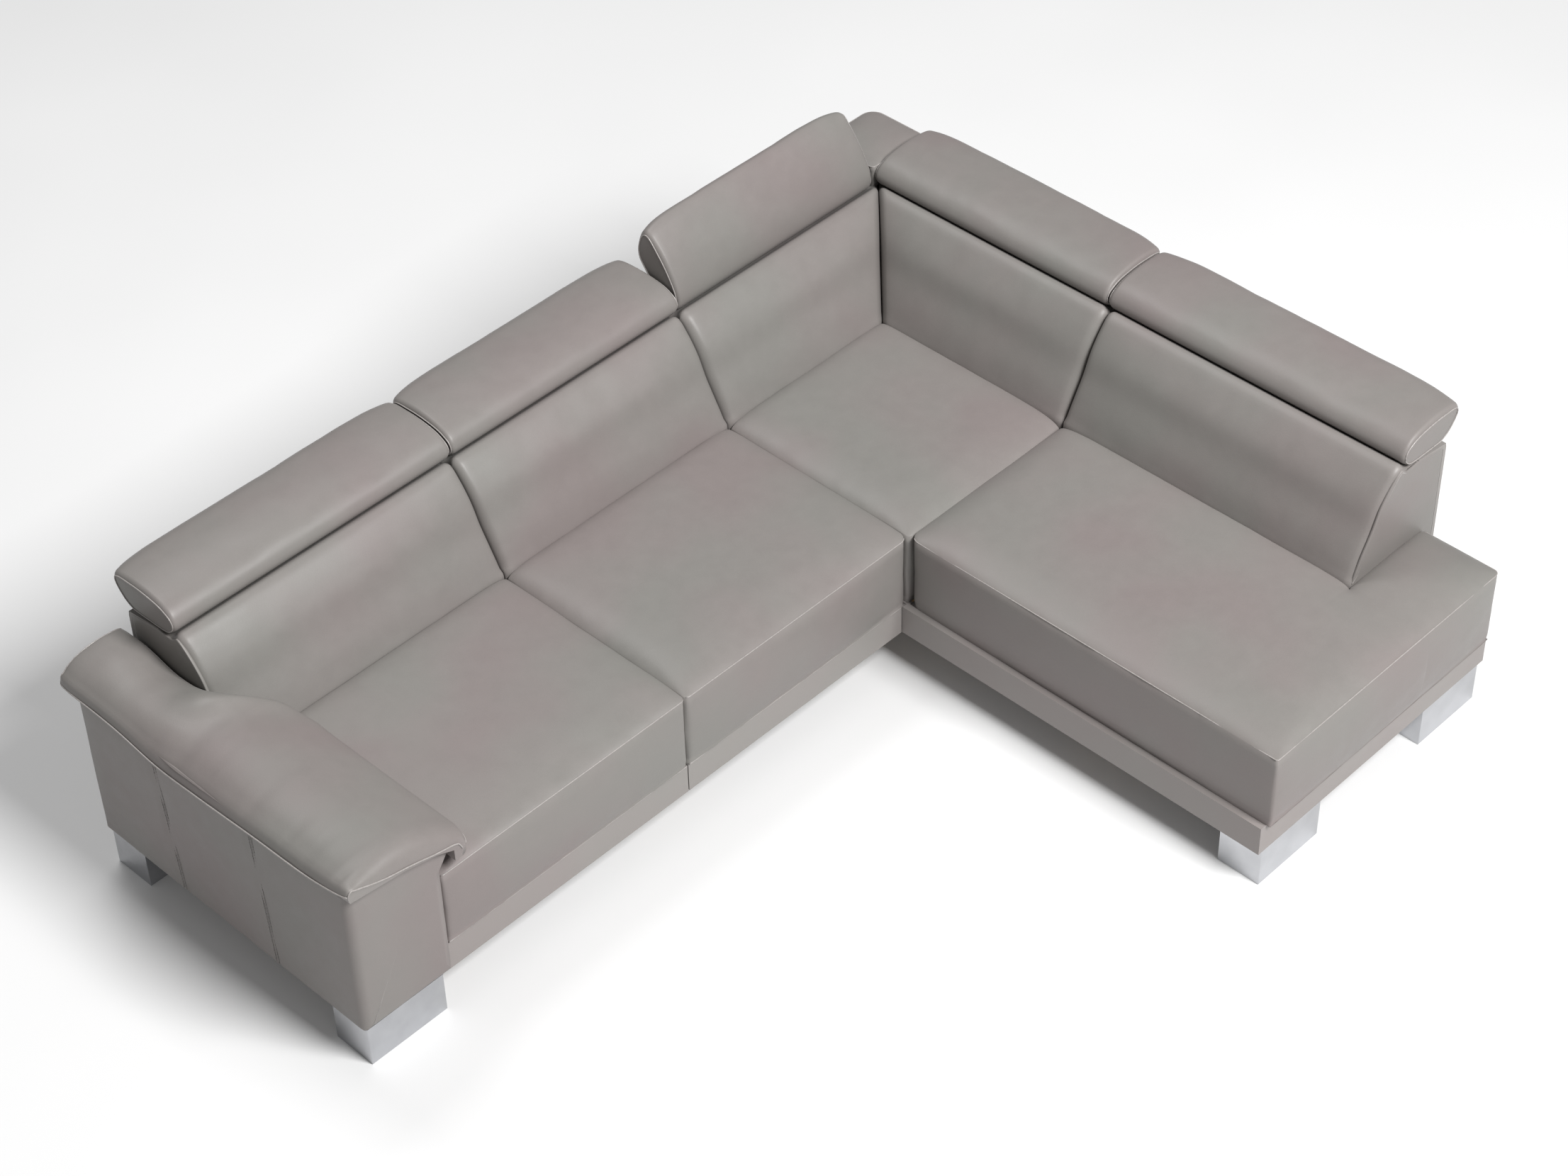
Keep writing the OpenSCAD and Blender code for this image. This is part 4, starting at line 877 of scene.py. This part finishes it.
def dress_back_ends():
    """Flat leather panels on the two open ends of the back, from the cushion's edge to the rear cover."""
    loop = curve_through(BACK_SECTION, 9.0)
    # the front edge lies 10 mm inside the cushion's outline
    front = (loop[:, :2] + inward_of(loop) * 10.0)[::-1]
    parts = []
    for wing, x, way, low in ((False, -2116.0, -1.0, 531.0), (True, 1474.0, 1.0, PLINTH_TOP + 0.4)):
        edge = [tuple(p) for p in front if p[0] < 190 and p[1] > max(low, 432)]
        if low < 400:
            edge = [(12.0, low), (12.0, 300.0), (11.0, 410.0)] + edge
        outline = np.array(edge + [(206, 663.5), (228, 665.5), (262, 663.5), (300, 656), (332, 650),
                                   (332.4, 600), (332.4, low)])
        hub = outline.mean(axis=0)
        rings = []
        # the edge turns over to a face that stands 1.3 mm proud
        for offset, inset in ((-5.0, 0.0), (-0.4, 0.0), (0.9, 1.2), (1.3, 3.5)):
            inner = hub + (outline - hub) * (1 - inset / 120.0)
            rings.append(xyz(x + way * offset, *inner.T))
        verts, faces = shell(rings, (way, 0, 0), puff=0.6, depth=7)
        parts.append((in_row(verts, wing), faces))
    verts, faces = many(parts)
    piece = mesh_piece("back_end_panels_leather", verts, faces, corrected_leather())
    settle(piece, "sofa", "back_end_panels")


# room for the piping between neighbouring headrests
REST_INSET = 2.6
# side view of a headrest about its hinge, in the same columns
REST_SECTION = (
    (117.8, -44, 0.4, 0, 0), (148.2, -35, 0.7, 0, 0), (171, -16, 0.7, 0, 0), (185, 2, 0.7, 0, 0),
    (190, 18, 0.7, 0, 0), (184, 32, 0.7, 0, 0), (164, 40, 0.8, 0, 0), (120, 44.5, 1, 0, 0),
    (79.8, 45.5, 1, 0, 0), (40, 43, 1, 0, 0), (6, 38, 1, 0, 0), (-17, 29, 1, 0, 0), (-34, 14, 0.6, 0, 0),
    (-41.5, -4, 0.6, 0, 0), (-36.4, -21, 0.6, 0, 0), (-21, -36.4, 0.6, 0, 0), (0, -42, 0.6, 0, 0),
    (40, -42.6, 0.4, 0, 0))


def tilted(points, degrees):
    """Points of a headrest's own section, turned about its hinge and set in place."""
    a = math.radians(degrees)
    out = points.copy()
    out[:, 1] = points[:, 1] * math.cos(a) - points[:, 2] * math.sin(a) + HINGE_D
    out[:, 2] = points[:, 1] * math.sin(a) + points[:, 2] * math.cos(a) + HINGE_Z
    return out


def dress_headrests():
    """Five headrests: long round-fronted pads with flat end panels and thin piping round them."""
    loop = curve_through(REST_SECTION, 9.0)
    # the nose runs in the back's groove and the board holds the underside, so only the top and rear swell
    loose = np.clip((loop[:, 1] - 8.0) / 30.0, 0, 1) * np.clip((loop[:, 0] + 30.0) / 50.0, 0, 1)
    loose = np.maximum(loose, np.clip((loop[:, 0] - 165.0) / 20.0, 0, 1))
    pieces = []
    for number, (x0, x1) in enumerate(REST_SPANS):
        letter = "abcde"[number]
        body = "headrest_" + letter
        wing = letter in "de"
        turn = RAISED if letter == "c" else 0.0
        verts, faces, seams, spare = sweep(loop, loose, x0 + REST_INSET, x1 - REST_INSET, edge=12.0,
                                           swell=0.0, puff=0.9, power=8, shorten=20.0)
        piece = mesh_piece("headrest_%s_leather" % letter, in_row(tilted(verts, turn), wing), faces,
                           corrected_leather())
        held(piece, spare)
        soften(piece, sizes().softness * 1.2, 0.13, number + 31, free=np.clip(spare / 30, 0, 1))
        settle(piece, body, "headrest_cover_" + letter, fill=0.85)
        pieces.append(piece)
        for end, ring in zip(("low", "high"), seams):
            ring = ring + np.array([-0.8 if end == "low" else 0.8, 0, 0])
            welt("headrest_%s_piping_%s" % (letter, end), in_row(tilted(ring, turn), wing), "headrest",
                 body, closed=True)
    settle_filling(pieces, 3.0, 0.004)


def dress_corner():
    """Padded block that closes the corner behind the headrests."""
    plan = [(172, 191), (366, 191), (366, 373), (172, 373)]
    sides = [(0, 30, 0), (0, 30, 0.3), (0, 30, 0.3), (0, 30, 0)]
    verts, faces, ring, _, pull = soft_block(
        plan, low=667.4, seam=730, crown=19.4, sides=sides, radii=(10, 18, 38, 18),
        swell=8, foot_draw=7, seed=9, rows=8, step=11)
    piece = mesh_piece("corner_cap_leather", in_row(verts), faces, corrected_leather())
    held(piece, pull)
    soften(piece, 0.0012, 0.09, 41)
    settle(piece, "sofa", "corner_cap", fill=0.8)
    settle_filling([piece], 3.0, 0.004)
    welt("corner_cap_piping", in_row(ring), "corner", closed=True)


def corner_arc(x, z, radius, start, count):
    """Points of a quarter circle about x and z, from a start angle in degrees."""
    angles = np.radians([start + 90 * k / count for k in range(count + 1)])
    return [(x + radius * math.cos(a), z + radius * math.sin(a)) for a in angles]


def arm_section():
    """Outline of the arm's body in x and z, anticlockwise, with its lower edges rounded."""
    out = corner_arc(ARM_OUT + 14, FOOT_H + 14, 14, start=180, count=6)
    out += [(x, FOOT_H) for x in np.linspace(ARM_OUT + 30, ARM_IN - 20, 10)]
    out += corner_arc(ARM_IN - 5, FOOT_H + 5, 5, start=270, count=3)
    out += [(ARM_IN, z) for z in np.linspace(140, 420, 16)]
    out += [(ARM_IN, 439), (ARM_IN + 16, 461), (ARM_IN + 30, 482), (ARM_IN + 29, 492)]
    out += [(x, arm_top(x)) for x in np.linspace(ARM_IN + 20, ARM_OUT + 8, 16)]
    out += [(ARM_OUT + 1, 550.5)] + [(ARM_OUT, z) for z in np.linspace(540, 135, 26)]
    return np.array(out)


def dress_arm():
    """Arm's body: a wide upholstered box with round outer edges and two seams on its outer side."""
    section = arm_section()
    near = [0, 0.5, 1.5, 3.2, 5.6, 8.8, 13, 18, ARM_ROUND]
    flat = ARM_BACK - ARM_FRONT - 2 * ARM_ROUND
    count = 60
    stations = ([ARM_FRONT + v for v in near]
                + [ARM_FRONT + ARM_ROUND + flat * k / count for k in range(1, count)]
                + [ARM_BACK - v for v in reversed(near)])
    rings = []
    for y in stations:
        s = min(y - ARM_FRONT, ARM_BACK - y)
        inset = ARM_ROUND - math.sqrt(max(0.0, ARM_ROUND**2 - (ARM_ROUND - min(s, ARM_ROUND))**2))
        x = np.maximum(section[:, 0], ARM_OUT + inset)
        z = np.maximum(section[:, 1], FOOT_H + 0.7 * inset)
        # the outer side is lightly padded, and drawn in along its two upright seams
        share = np.clip((z - ARM_SEAM_LOW) / ARM_SEAM_SPAN, 0, 1)
        pad = 2.6 * np.sin(math.pi * share) ** 0.6
        fade = (share > 0) * np.sin(math.pi * np.clip(share, 0.02, 0.98)) ** 0.2
        for top, low in ARM_SEAMS:
            pad -= 3.4 * np.exp(-((y - low - (top - low) * share) / 7.0) ** 2) * fade
        outer = section[:, 0] < ARM_OUT + 0.5
        x = x - np.where(outer & (s >= ARM_ROUND), pad * min(1.0, (s - ARM_ROUND) / 20.0), 0.0)
        rings.append(xyz(x, y, z))
    verts, faces = shell(rings, (0, 1, 0), puff=1.5, depth=9)
    body = mesh_piece("arm_body_leather", in_row(verts), faces, corrected_leather())
    soften(body, sizes().softness, 0.11, 51)
    settle(body, "sofa", "arm_cover", fill=0.9)
    z = np.linspace(540, 128, 60)
    share = np.clip((z - ARM_SEAM_LOW) / ARM_SEAM_SPAN, 0, 1)
    for number, (top, low) in enumerate(ARM_SEAMS):
        for letter, shift in (("a", -4.5), ("b", 4.5)):
            path = xyz(ARM_OUT - 0.6, low + (top - low) * share + shift, z)
            sewn("arm_stitch_%d_%s" % (number + 1, letter), in_row(path), (-1, 0, 0))


PILLOW_FRONT, PILLOW_BACK = -617.0, 363.0
# height of the outer piping over the arm, at shares of the pillow's length
PILLOW_PIPING = ((0, 22), (0.1, 2), (0.32, -11), (0.51, -23), (0.65, -27), (0.79, -8), (1, -2))
# crown's height over the arm at shares of its width, where the pillow is wide and where it is narrow
PILLOW_ROWS = (
    (0, 0, 0), (0.015, 14, 13), (0.07, 27, 23), (0.18, 37, 35), (0.34, 40, 42), (0.5, 36, 44), (0.64, 22, 42),
    (0.76, 3, 38), (0.86, -15, 34), (0.94, -33, 29), (0.98, -48, 24), (1, -68, 15))
# shares of the width at which the crown has its points
PILLOW_ACROSS = (0, 0.004, 0.015, 0.035, 0.07, 0.12, 0.18, 0.26, 0.34, 0.42, 0.5, 0.57, 0.64, 0.70, 0.76,
                 0.81, 0.86, 0.90, 0.94, 0.97, 0.99, 1.0)
# share of the ends' rounding, at distances from an end
PILLOW_ENDS = ((0, 1), (4, 0.62), (10, 0.4), (20, 0.2), (34, 0.07), (55, 0), (70, 0))
# reach of the inner edge past the arm's inner side, at places along the arm
PILLOW_INNER = (
    (-170, 96), (-100, 95), (-60, 84), (-34, 70), (-15, 38), (4, -6), (28, -38), (60, -56), (100, -60))
# reach of the inner edge where the pillow is widest, and the draw-in that counts as fully narrow
PILLOW_WIDEST, PILLOW_DRAW_IN = 96.0, 162.0
# filling pushed up beside the back cushion: its height, its place, and its reach before and behind that
HEAP, HEAP_AT, HEAP_REACH = 31.0, 12.0, (50.0, 80.0)
# rise of the inner edge towards the rear: its height, where it starts and its length
REAR_RISE, REAR_RISE_FROM, REAR_RISE_OVER = 22.0, 170.0, 130.0
# tucks along the outer piping: their places and depths
PILLOW_TUCKS = (
    (-575, 3.0), (-470, 1.6), (-452, 1.2), (-395, 2.0), (-270, 1.6), (-254, 1.2), (-118, 1.8), (-98, 1.4),
    (40, 1.6), (58, 1.2))


def smooth(t):
    """Share from 0 to 1 that starts and ends level."""
    t = min(1.0, max(0.0, t))
    return t * t * (3 - 2 * t)


def pillow_ring(y, end):
    """Outline of the arm's pillow at one place along it, its crown first and its underside after."""
    reach = float(smooth_table(y, PILLOW_INNER))
    narrow = min(1.0, max(0.0, (PILLOW_WIDEST - reach) / PILLOW_DRAW_IN))
    # both edges draw in as the ends round off, the inner one by more where the pillow is wide
    x_out = ARM_OUT - 10 + 5 * end
    x_in = ARM_IN + reach - 10 - (30 * (1 - narrow) + 3 * narrow) * end
    share = (y - PILLOW_FRONT) / (PILLOW_BACK - PILLOW_FRONT)
    piping = float(smooth_table(share, PILLOW_PIPING))
    us = np.array(PILLOW_ACROSS)
    wide, tight = smooth_table(us, PILLOW_ROWS), smooth_table(us, PILLOW_ROWS, 2)
    # the crown sinks towards the ends, by more where the pillow is wide
    drop = 46 * (1 - narrow)
    before, behind = HEAP_REACH
    heap = HEAP * math.exp(-((y - HEAP_AT) / (before if y < HEAP_AT else behind)) ** 2)
    rear = REAR_RISE * smooth((y - REAR_RISE_FROM) / REAR_RISE_OVER)
    # the heap rises from 0.4 to 0.85 of the way across
    lift = np.clip((us - 0.4) / 0.45, 0, 1)
    z = ARM_H + wide * (1 - narrow) + tight * narrow + piping * (1 - us) ** 6 - drop * end * 4 * us * (1 - us)
    z = z + heap * lift**2 * (3 - 2 * lift) + rear * us
    x = x_out + (x_in - x_out) * us
    crown = xyz(x, y, z)
    # beyond this the underside hangs beside the arm, and before it the pillow lies on the arm
    hang = ARM_IN + 34.0
    fall = min(hang, x_in - 14)
    tuck = max(fall + 2, x_in - 8 - 16 * (1 - narrow))

    def under(px):
        if px >= hang:
            k = min(1.0, narrow / 0.2)
            return (ARM_H - 91) * (1 - k) + 493.5 * k
        return arm_top(px) + 0.5 + 8 * narrow * (1 - narrow)

    low = [(px, y, under(px)) for px in (x_in - 2, tuck, fall, fall - 0.7, min(ARM_IN - 12, x_in - 22))]
    low += [(px, y, arm_top(px) + 0.5) for px in (ARM_IN - 104, ARM_OUT + 4)]
    low += [(ARM_OUT - 1.2, y, ARM_H + h) for h in (1.6, min(0.8, piping - 4))]
    return np.concatenate([crown, np.array(low)])


def dress_pillow():
    """Soft pillow along the arm: wide and drooping at the front, drawn narrow beside the back cushion."""
    places = [0, 1, 2.5, 4, 7, 10, 14, 19, 26, 34, 44, 56, 70]
    inner = np.linspace(PILLOW_FRONT + 70, PILLOW_BACK - 70, 68)[1:-1]
    ends = [float(smooth_table(v, PILLOW_ENDS)) for v in places]
    crown = len(PILLOW_ACROSS)
    across = np.sin(np.linspace(0, math.pi, crown)) ** 0.5
    share = np.linspace(0, 1, crown)
    tucked = np.sin(math.pi * np.clip(share / 0.36, 0, 1))
    stations = ([(PILLOW_FRONT + v, e) for v, e in zip(places, ends)] + [(y, 0.0) for y in inner]
                + [(PILLOW_BACK - v, e) for v, e in reversed(list(zip(places, ends)))])
    rings, spare = [], []
    for y, end in stations:
        ring = pillow_ring(y, end)
        # gathers along the front seam and small folds where the pillow narrows
        away = y - PILLOW_FRONT
        fold = 1.5 * math.exp(-away / 45.0) * (1 - math.exp(-away / 4.0))
        bend = 1.6 * math.exp(-((y + 60) / 60.0) ** 2)
        pts = ring[:crown]
        ring[:crown, 2] += across * (fold * soft_noise(pts * np.array([1, 0.25, 1]) / 1000, 0.020, 61)
                                     + bend * soft_noise(pts * np.array([0.4, 1, 1]) / 1000, 0.026, 62))
        # short tucks run in from the outer piping
        for place, deep in PILLOW_TUCKS:
            ring[:crown, 2] -= deep * math.exp(-((y - place) / 6.5) ** 2) * tucked
        rings.append(ring)
        free = np.minimum(share, 1 - share) * abs(ring[crown - 1, 0] - ring[0, 0])
        spare.append(np.pad(free, (0, len(ring) - crown)) * min(1.0, away / 40.0, (PILLOW_BACK - y) / 40.0))
    verts, faces = flat_ended(rings)
    piece = mesh_piece("arm_pillow_leather", in_row(verts), faces, corrected_leather())
    rim = np.zeros(len(rings[0]))
    held(piece, np.concatenate([rim] + spare + [rim]))
    soften(piece, 0.0016, 0.12, 63, 0.53)
    settle(piece, "sofa", "arm_pillow", fill=0.6)
    settle_filling([piece], 2.5, 0.004)
    outer = np.array([r[0] for r in rings]) + np.array([-0.6, 0, 0.4])
    inner_edge = np.array([r[crown - 1] for r in rings[4:-4]]) + np.array([0.4, 0, -0.4])
    welt("arm_pillow_piping_outer", in_row(outer), "pillow")
    welt("arm_pillow_piping_front", in_row(rings[0][:crown] + np.array([0, -0.8, 0.2])), "pillow")
    welt("arm_pillow_piping_back", in_row(rings[-1][:crown] + np.array([0, 0.8, 0.2])), "pillow")
    welt("arm_pillow_seam_inner", in_row(inner_edge), "seam")


def soften_edges(node, width, segments):
    """Small round on a CAD node's edges."""
    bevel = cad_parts[node].modifiers.new("Round edges", "BEVEL")
    bevel.width = width
    bevel.segments = segments
    bevel.limit_method = "ANGLE"
    bevel.angle_limit = math.radians(30.0)
    bevel.harden_normals = False


def repaint(node, material):
    """Gives a CAD node this material and nothing else."""
    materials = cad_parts[node].data.materials
    materials.clear()
    materials.append(material)


def dress_plinth():
    """Boards of the plinth, wrapped in leather with soft edges."""
    for node in ("plinth_front_a", "plinth_front_b", "plinth_back", "plinth_chaise_left",
                 "plinth_chaise_front", "plinth_chaise_right", "rear_cover_long", "rear_cover_chaise"):
        repaint(node, corrected_leather())
        soften_edges(node, 0.003, 3)


def dress_rear():
    """Upright seams of the rear covers: a fold in the leather between two rows of stitches."""
    z = np.linspace(REAR_LOW, REAR_HIGH, 60)
    for number, (wing, x) in enumerate(REAR_JOINTS):
        fold = xyz(x, REAR_FACE + 0.3, z)
        welt("rear_seam_%d" % (number + 1), in_row(fold, wing), "seam")
        for letter, shift in (("a", -7.0), ("b", 7.0)):
            path = in_row(fold + np.array([shift, 0, 0]), wing)
            sewn("rear_stitch_%d_%s" % (number + 1, letter), path, (1, 0, 0) if wing else (0, 1, 0))


# flap between the arm and the long rear cover, in x and z, clockwise from its lower left
FLAP = (
    (-2076, 122), (-2076, 300), (-2076, 478), (-2080, 486), (-2092, 494), (-2110, 497), (-2118, 503),
    (-2120, 512), (-2120, 556), (-2116, 562), (-2080, 563), (-2046, 562), (-2042, 556), (-2042, 340),
    (-2042, 122), (-2060, 120))
FLAP_FRONT, FLAP_REAR = 327.0, 332.4
# flap that closes the chaise's end between plinth and rear cover, in depth and height
END_FLAP = (
    (303.2, 117), (303.2, 150), (303.2, 198.6), (318, 199), (332.4, 198.6), (332.4, 150), (332.4, 117),
    (318, 116.6))
END_FLAP_IN, END_FLAP_OUT = 1464.0, 1475.0


def dress_flaps():
    """Leather flaps that close the joints beside the rear covers, at the arm and at the chaise's end."""
    for name, outline, inner, outer, axis in (
            ("arm_joint_flap", FLAP, FLAP_FRONT, FLAP_REAR, 1),
            ("chaise_end_flap", END_FLAP, END_FLAP_IN, END_FLAP_OUT, 0)):
        outline = np.array(outline, float)
        inward = -inward_of(outline)
        rings = []
        for place, inset in ((inner, 0.0), (outer - 1.6, 0.0), (outer - 0.5, 0.5), (outer, 1.6)):
            rings.append(np.insert(outline + inward * inset, axis, place, axis=1))
        verts, faces = flat_ended(rings, (1 - axis, 2))
        settle(mesh_piece(name, in_row(verts, axis == 0), faces, corrected_leather()), "sofa")
    path = xyz(FLAP[0][0] + 7.0, FLAP_REAR + 0.3, np.linspace(128, 476, 50))
    sewn("arm_joint_stitch", in_row(path), (0, 1, 0))


def dress_hardware():
    """Feet, springs, frame, hinges and screws: each node keeps its shape and gets its real finish."""
    chrome, steel, plastic = satin_chrome(), zinc_steel(), moulded_plastic()
    pine, foam = planed_pine(), cut_foam()
    for place in ("arm_front", "arm_back", "chaise_inner", "chaise_outer", "corner_back"):
        repaint("foot_" + place, chrome)
        soften_edges("foot_" + place, 0.0012, 2)
    for node in ("foot_glides", "support_legs"):
        repaint(node, plastic)
    for node in ("foot_studs", "seat_springs", "module_hooks", "arm_bolts", "hinge_brackets",
                 "bracket_screws"):
        repaint(node, steel)
    for node in ("cross_rails", "back_posts", "back_rail_long", "back_rail_chaise", "arm_frame"):
        repaint(node, pine)
    for letter in "abcde":
        repaint("headrest_board_" + letter, pine)
        repaint("hinge_arms_" + letter, steel)
    for node in ("seat_foam_a", "seat_foam_b", "seat_foam_corner", "seat_foam_chaise", "back_foams"):
        repaint(node, foam)


# camera of the photograph: its place in metres, its turn in degrees, and its lens in millimetres
CAMERA = (-4.0717, -3.9652, 5.7461)
YAW, PITCH, ROLL = 45.17, -42.38, -1.48
LENS, SENSOR = 77.46, 36.0
# half the floor's side in metres, and the strength of the light from all round
FLOOR_HALF, SURROUND = 30.0, 0.24
# lamps: name, place, aim, size and power
LAMPS = (
    ("key", (0.5, -6.0, 7.7), (0.0, 0.2, 0.4), 3.4, 1270.0),
    ("top", (0.2, 3.4, 7.0), (0.4, 1.6, 0.0), 3.0, 190.0),
)


def set_stage():
    """Floor, light and camera of the photograph."""
    scene = bpy.context.scene
    mesh = bpy.data.meshes.new("floor")
    corners = [(x * FLOOR_HALF, y * FLOOR_HALF, 0) for x, y in ((-1, -1), (1, -1), (1, 1), (-1, 1))]
    mesh.from_pydata(corners, [], [(0, 1, 2, 3)])
    floor = bpy.data.objects.new("floor", mesh)
    scene.collection.objects.link(floor)
    mesh.materials.append(studio_floor())

    yaw, pitch, roll = (math.radians(v) for v in (YAW, PITCH, ROLL))
    ahead = Vector((math.sin(yaw) * math.cos(pitch), math.cos(yaw) * math.cos(pitch), math.sin(pitch)))
    level = Vector((math.cos(yaw), -math.sin(yaw), 0))
    upright = level.cross(ahead)
    right = math.cos(roll) * level + math.sin(roll) * upright
    up = -math.sin(roll) * level + math.cos(roll) * upright
    turn = Matrix((right, up, -ahead)).transposed()
    lens = bpy.data.cameras.new("camera")
    lens.lens = LENS
    lens.sensor_width = SENSOR
    lens.clip_end = 100.0
    camera = bpy.data.objects.new("camera", lens)
    camera.matrix_world = Matrix.Translation(CAMERA) @ turn.to_4x4()
    scene.collection.objects.link(camera)
    scene.camera = camera

    world = bpy.data.worlds.new("studio")
    scene.world = world
    world.use_nodes = True
    back = world.node_tree.nodes["Background"]
    back.inputs["Color"].default_value = rgba("ffffff")
    back.inputs["Strength"].default_value = SURROUND
    scene.view_settings.view_transform = "Standard"
    for name, spot, aim, size, power in LAMPS:
        light = bpy.data.lights.new(name, "AREA")
        light.shape = "SQUARE"
        light.size = size
        light.energy = power
        lamp = bpy.data.objects.new(name, light)
        lamp.location = spot
        lamp.rotation_euler = (Vector(aim) - Vector(spot)).to_track_quat("-Z", "Y").to_euler()
        scene.collection.objects.link(lamp)


class SOFA_OT_seats(bpy.types.Operator):
    """Dress the four seat cushions"""

    bl_idname = "sofa.seats"
    bl_label = "Seats"

    def execute(self, context):
        dress_seats()
        return {"FINISHED"}


class SOFA_OT_backs(bpy.types.Operator):
    """Dress the five back cushions"""

    bl_idname = "sofa.backs"
    bl_label = "Backs"

    def execute(self, context):
        dress_backs()
        dress_back_ends()
        return {"FINISHED"}


class SOFA_OT_headrests(bpy.types.Operator):
    """Dress the five headrests"""

    bl_idname = "sofa.headrests"
    bl_label = "Headrests"

    def execute(self, context):
        dress_headrests()
        return {"FINISHED"}


class SOFA_OT_corner(bpy.types.Operator):
    """Dress the padded block in the corner"""

    bl_idname = "sofa.corner"
    bl_label = "Corner block"

    def execute(self, context):
        dress_corner()
        return {"FINISHED"}


class SOFA_OT_arm(bpy.types.Operator):
    """Dress the arm and its pillow"""

    bl_idname = "sofa.arm"
    bl_label = "Arm"

    def execute(self, context):
        dress_arm()
        dress_pillow()
        return {"FINISHED"}


class SOFA_OT_plinth(bpy.types.Operator):
    """Dress the plinth and the rear covers"""

    bl_idname = "sofa.plinth"
    bl_label = "Plinth and rear"

    def execute(self, context):
        dress_plinth()
        dress_rear()
        dress_flaps()
        return {"FINISHED"}


class SOFA_OT_hardware(bpy.types.Operator):
    """Finish the feet, frame, springs and hinges"""

    bl_idname = "sofa.hardware"
    bl_label = "Hardware"

    def execute(self, context):
        dress_hardware()
        return {"FINISHED"}


class SOFA_OT_stage(bpy.types.Operator):
    """Set the floor, the lights and the camera"""

    bl_idname = "sofa.stage"
    bl_label = "Stage"

    def execute(self, context):
        set_stage()
        return {"FINISHED"}


STEPS = (SOFA_OT_seats, SOFA_OT_backs, SOFA_OT_headrests, SOFA_OT_corner, SOFA_OT_arm, SOFA_OT_plinth,
         SOFA_OT_hardware, SOFA_OT_stage)


class SOFA_PT_panel(bpy.types.Panel):
    """Steps that dress the sofa"""

    bl_idname = "SOFA_PT_panel"
    bl_label = "Sofa"
    bl_space_type = "VIEW_3D"
    bl_region_type = "UI"
    bl_category = "Sofa"

    def draw(self, context):
        layout = self.layout
        for group in (context.scene.sofa_colours, context.scene.sofa_sizes):
            for name in group.bl_rna.properties.keys():
                if name not in {"rna_type", "name"}:
                    layout.prop(group, name)
        for step in STEPS:
            layout.operator(step.bl_idname)


CLASSES = (SofaColours, SofaSizes, *STEPS, SOFA_PT_panel)


def register():
    """Registers the classes and puts the settings on the scene."""
    for cls in CLASSES:
        bpy.utils.register_class(cls)
    bpy.types.Scene.sofa_colours = bpy.props.PointerProperty(type=SofaColours)
    bpy.types.Scene.sofa_sizes = bpy.props.PointerProperty(type=SofaSizes)


def unregister():
    """Takes the settings off the scene and the classes out."""
    del bpy.types.Scene.sofa_sizes
    del bpy.types.Scene.sofa_colours
    for cls in reversed(CLASSES):
        bpy.utils.unregister_class(cls)


def main():
    """Runs every step in order."""
    register()
    for step in STEPS:
        group, name = step.bl_idname.split(".")
        getattr(getattr(bpy.ops, group), name)()


if __name__ == "__main__":
    main()
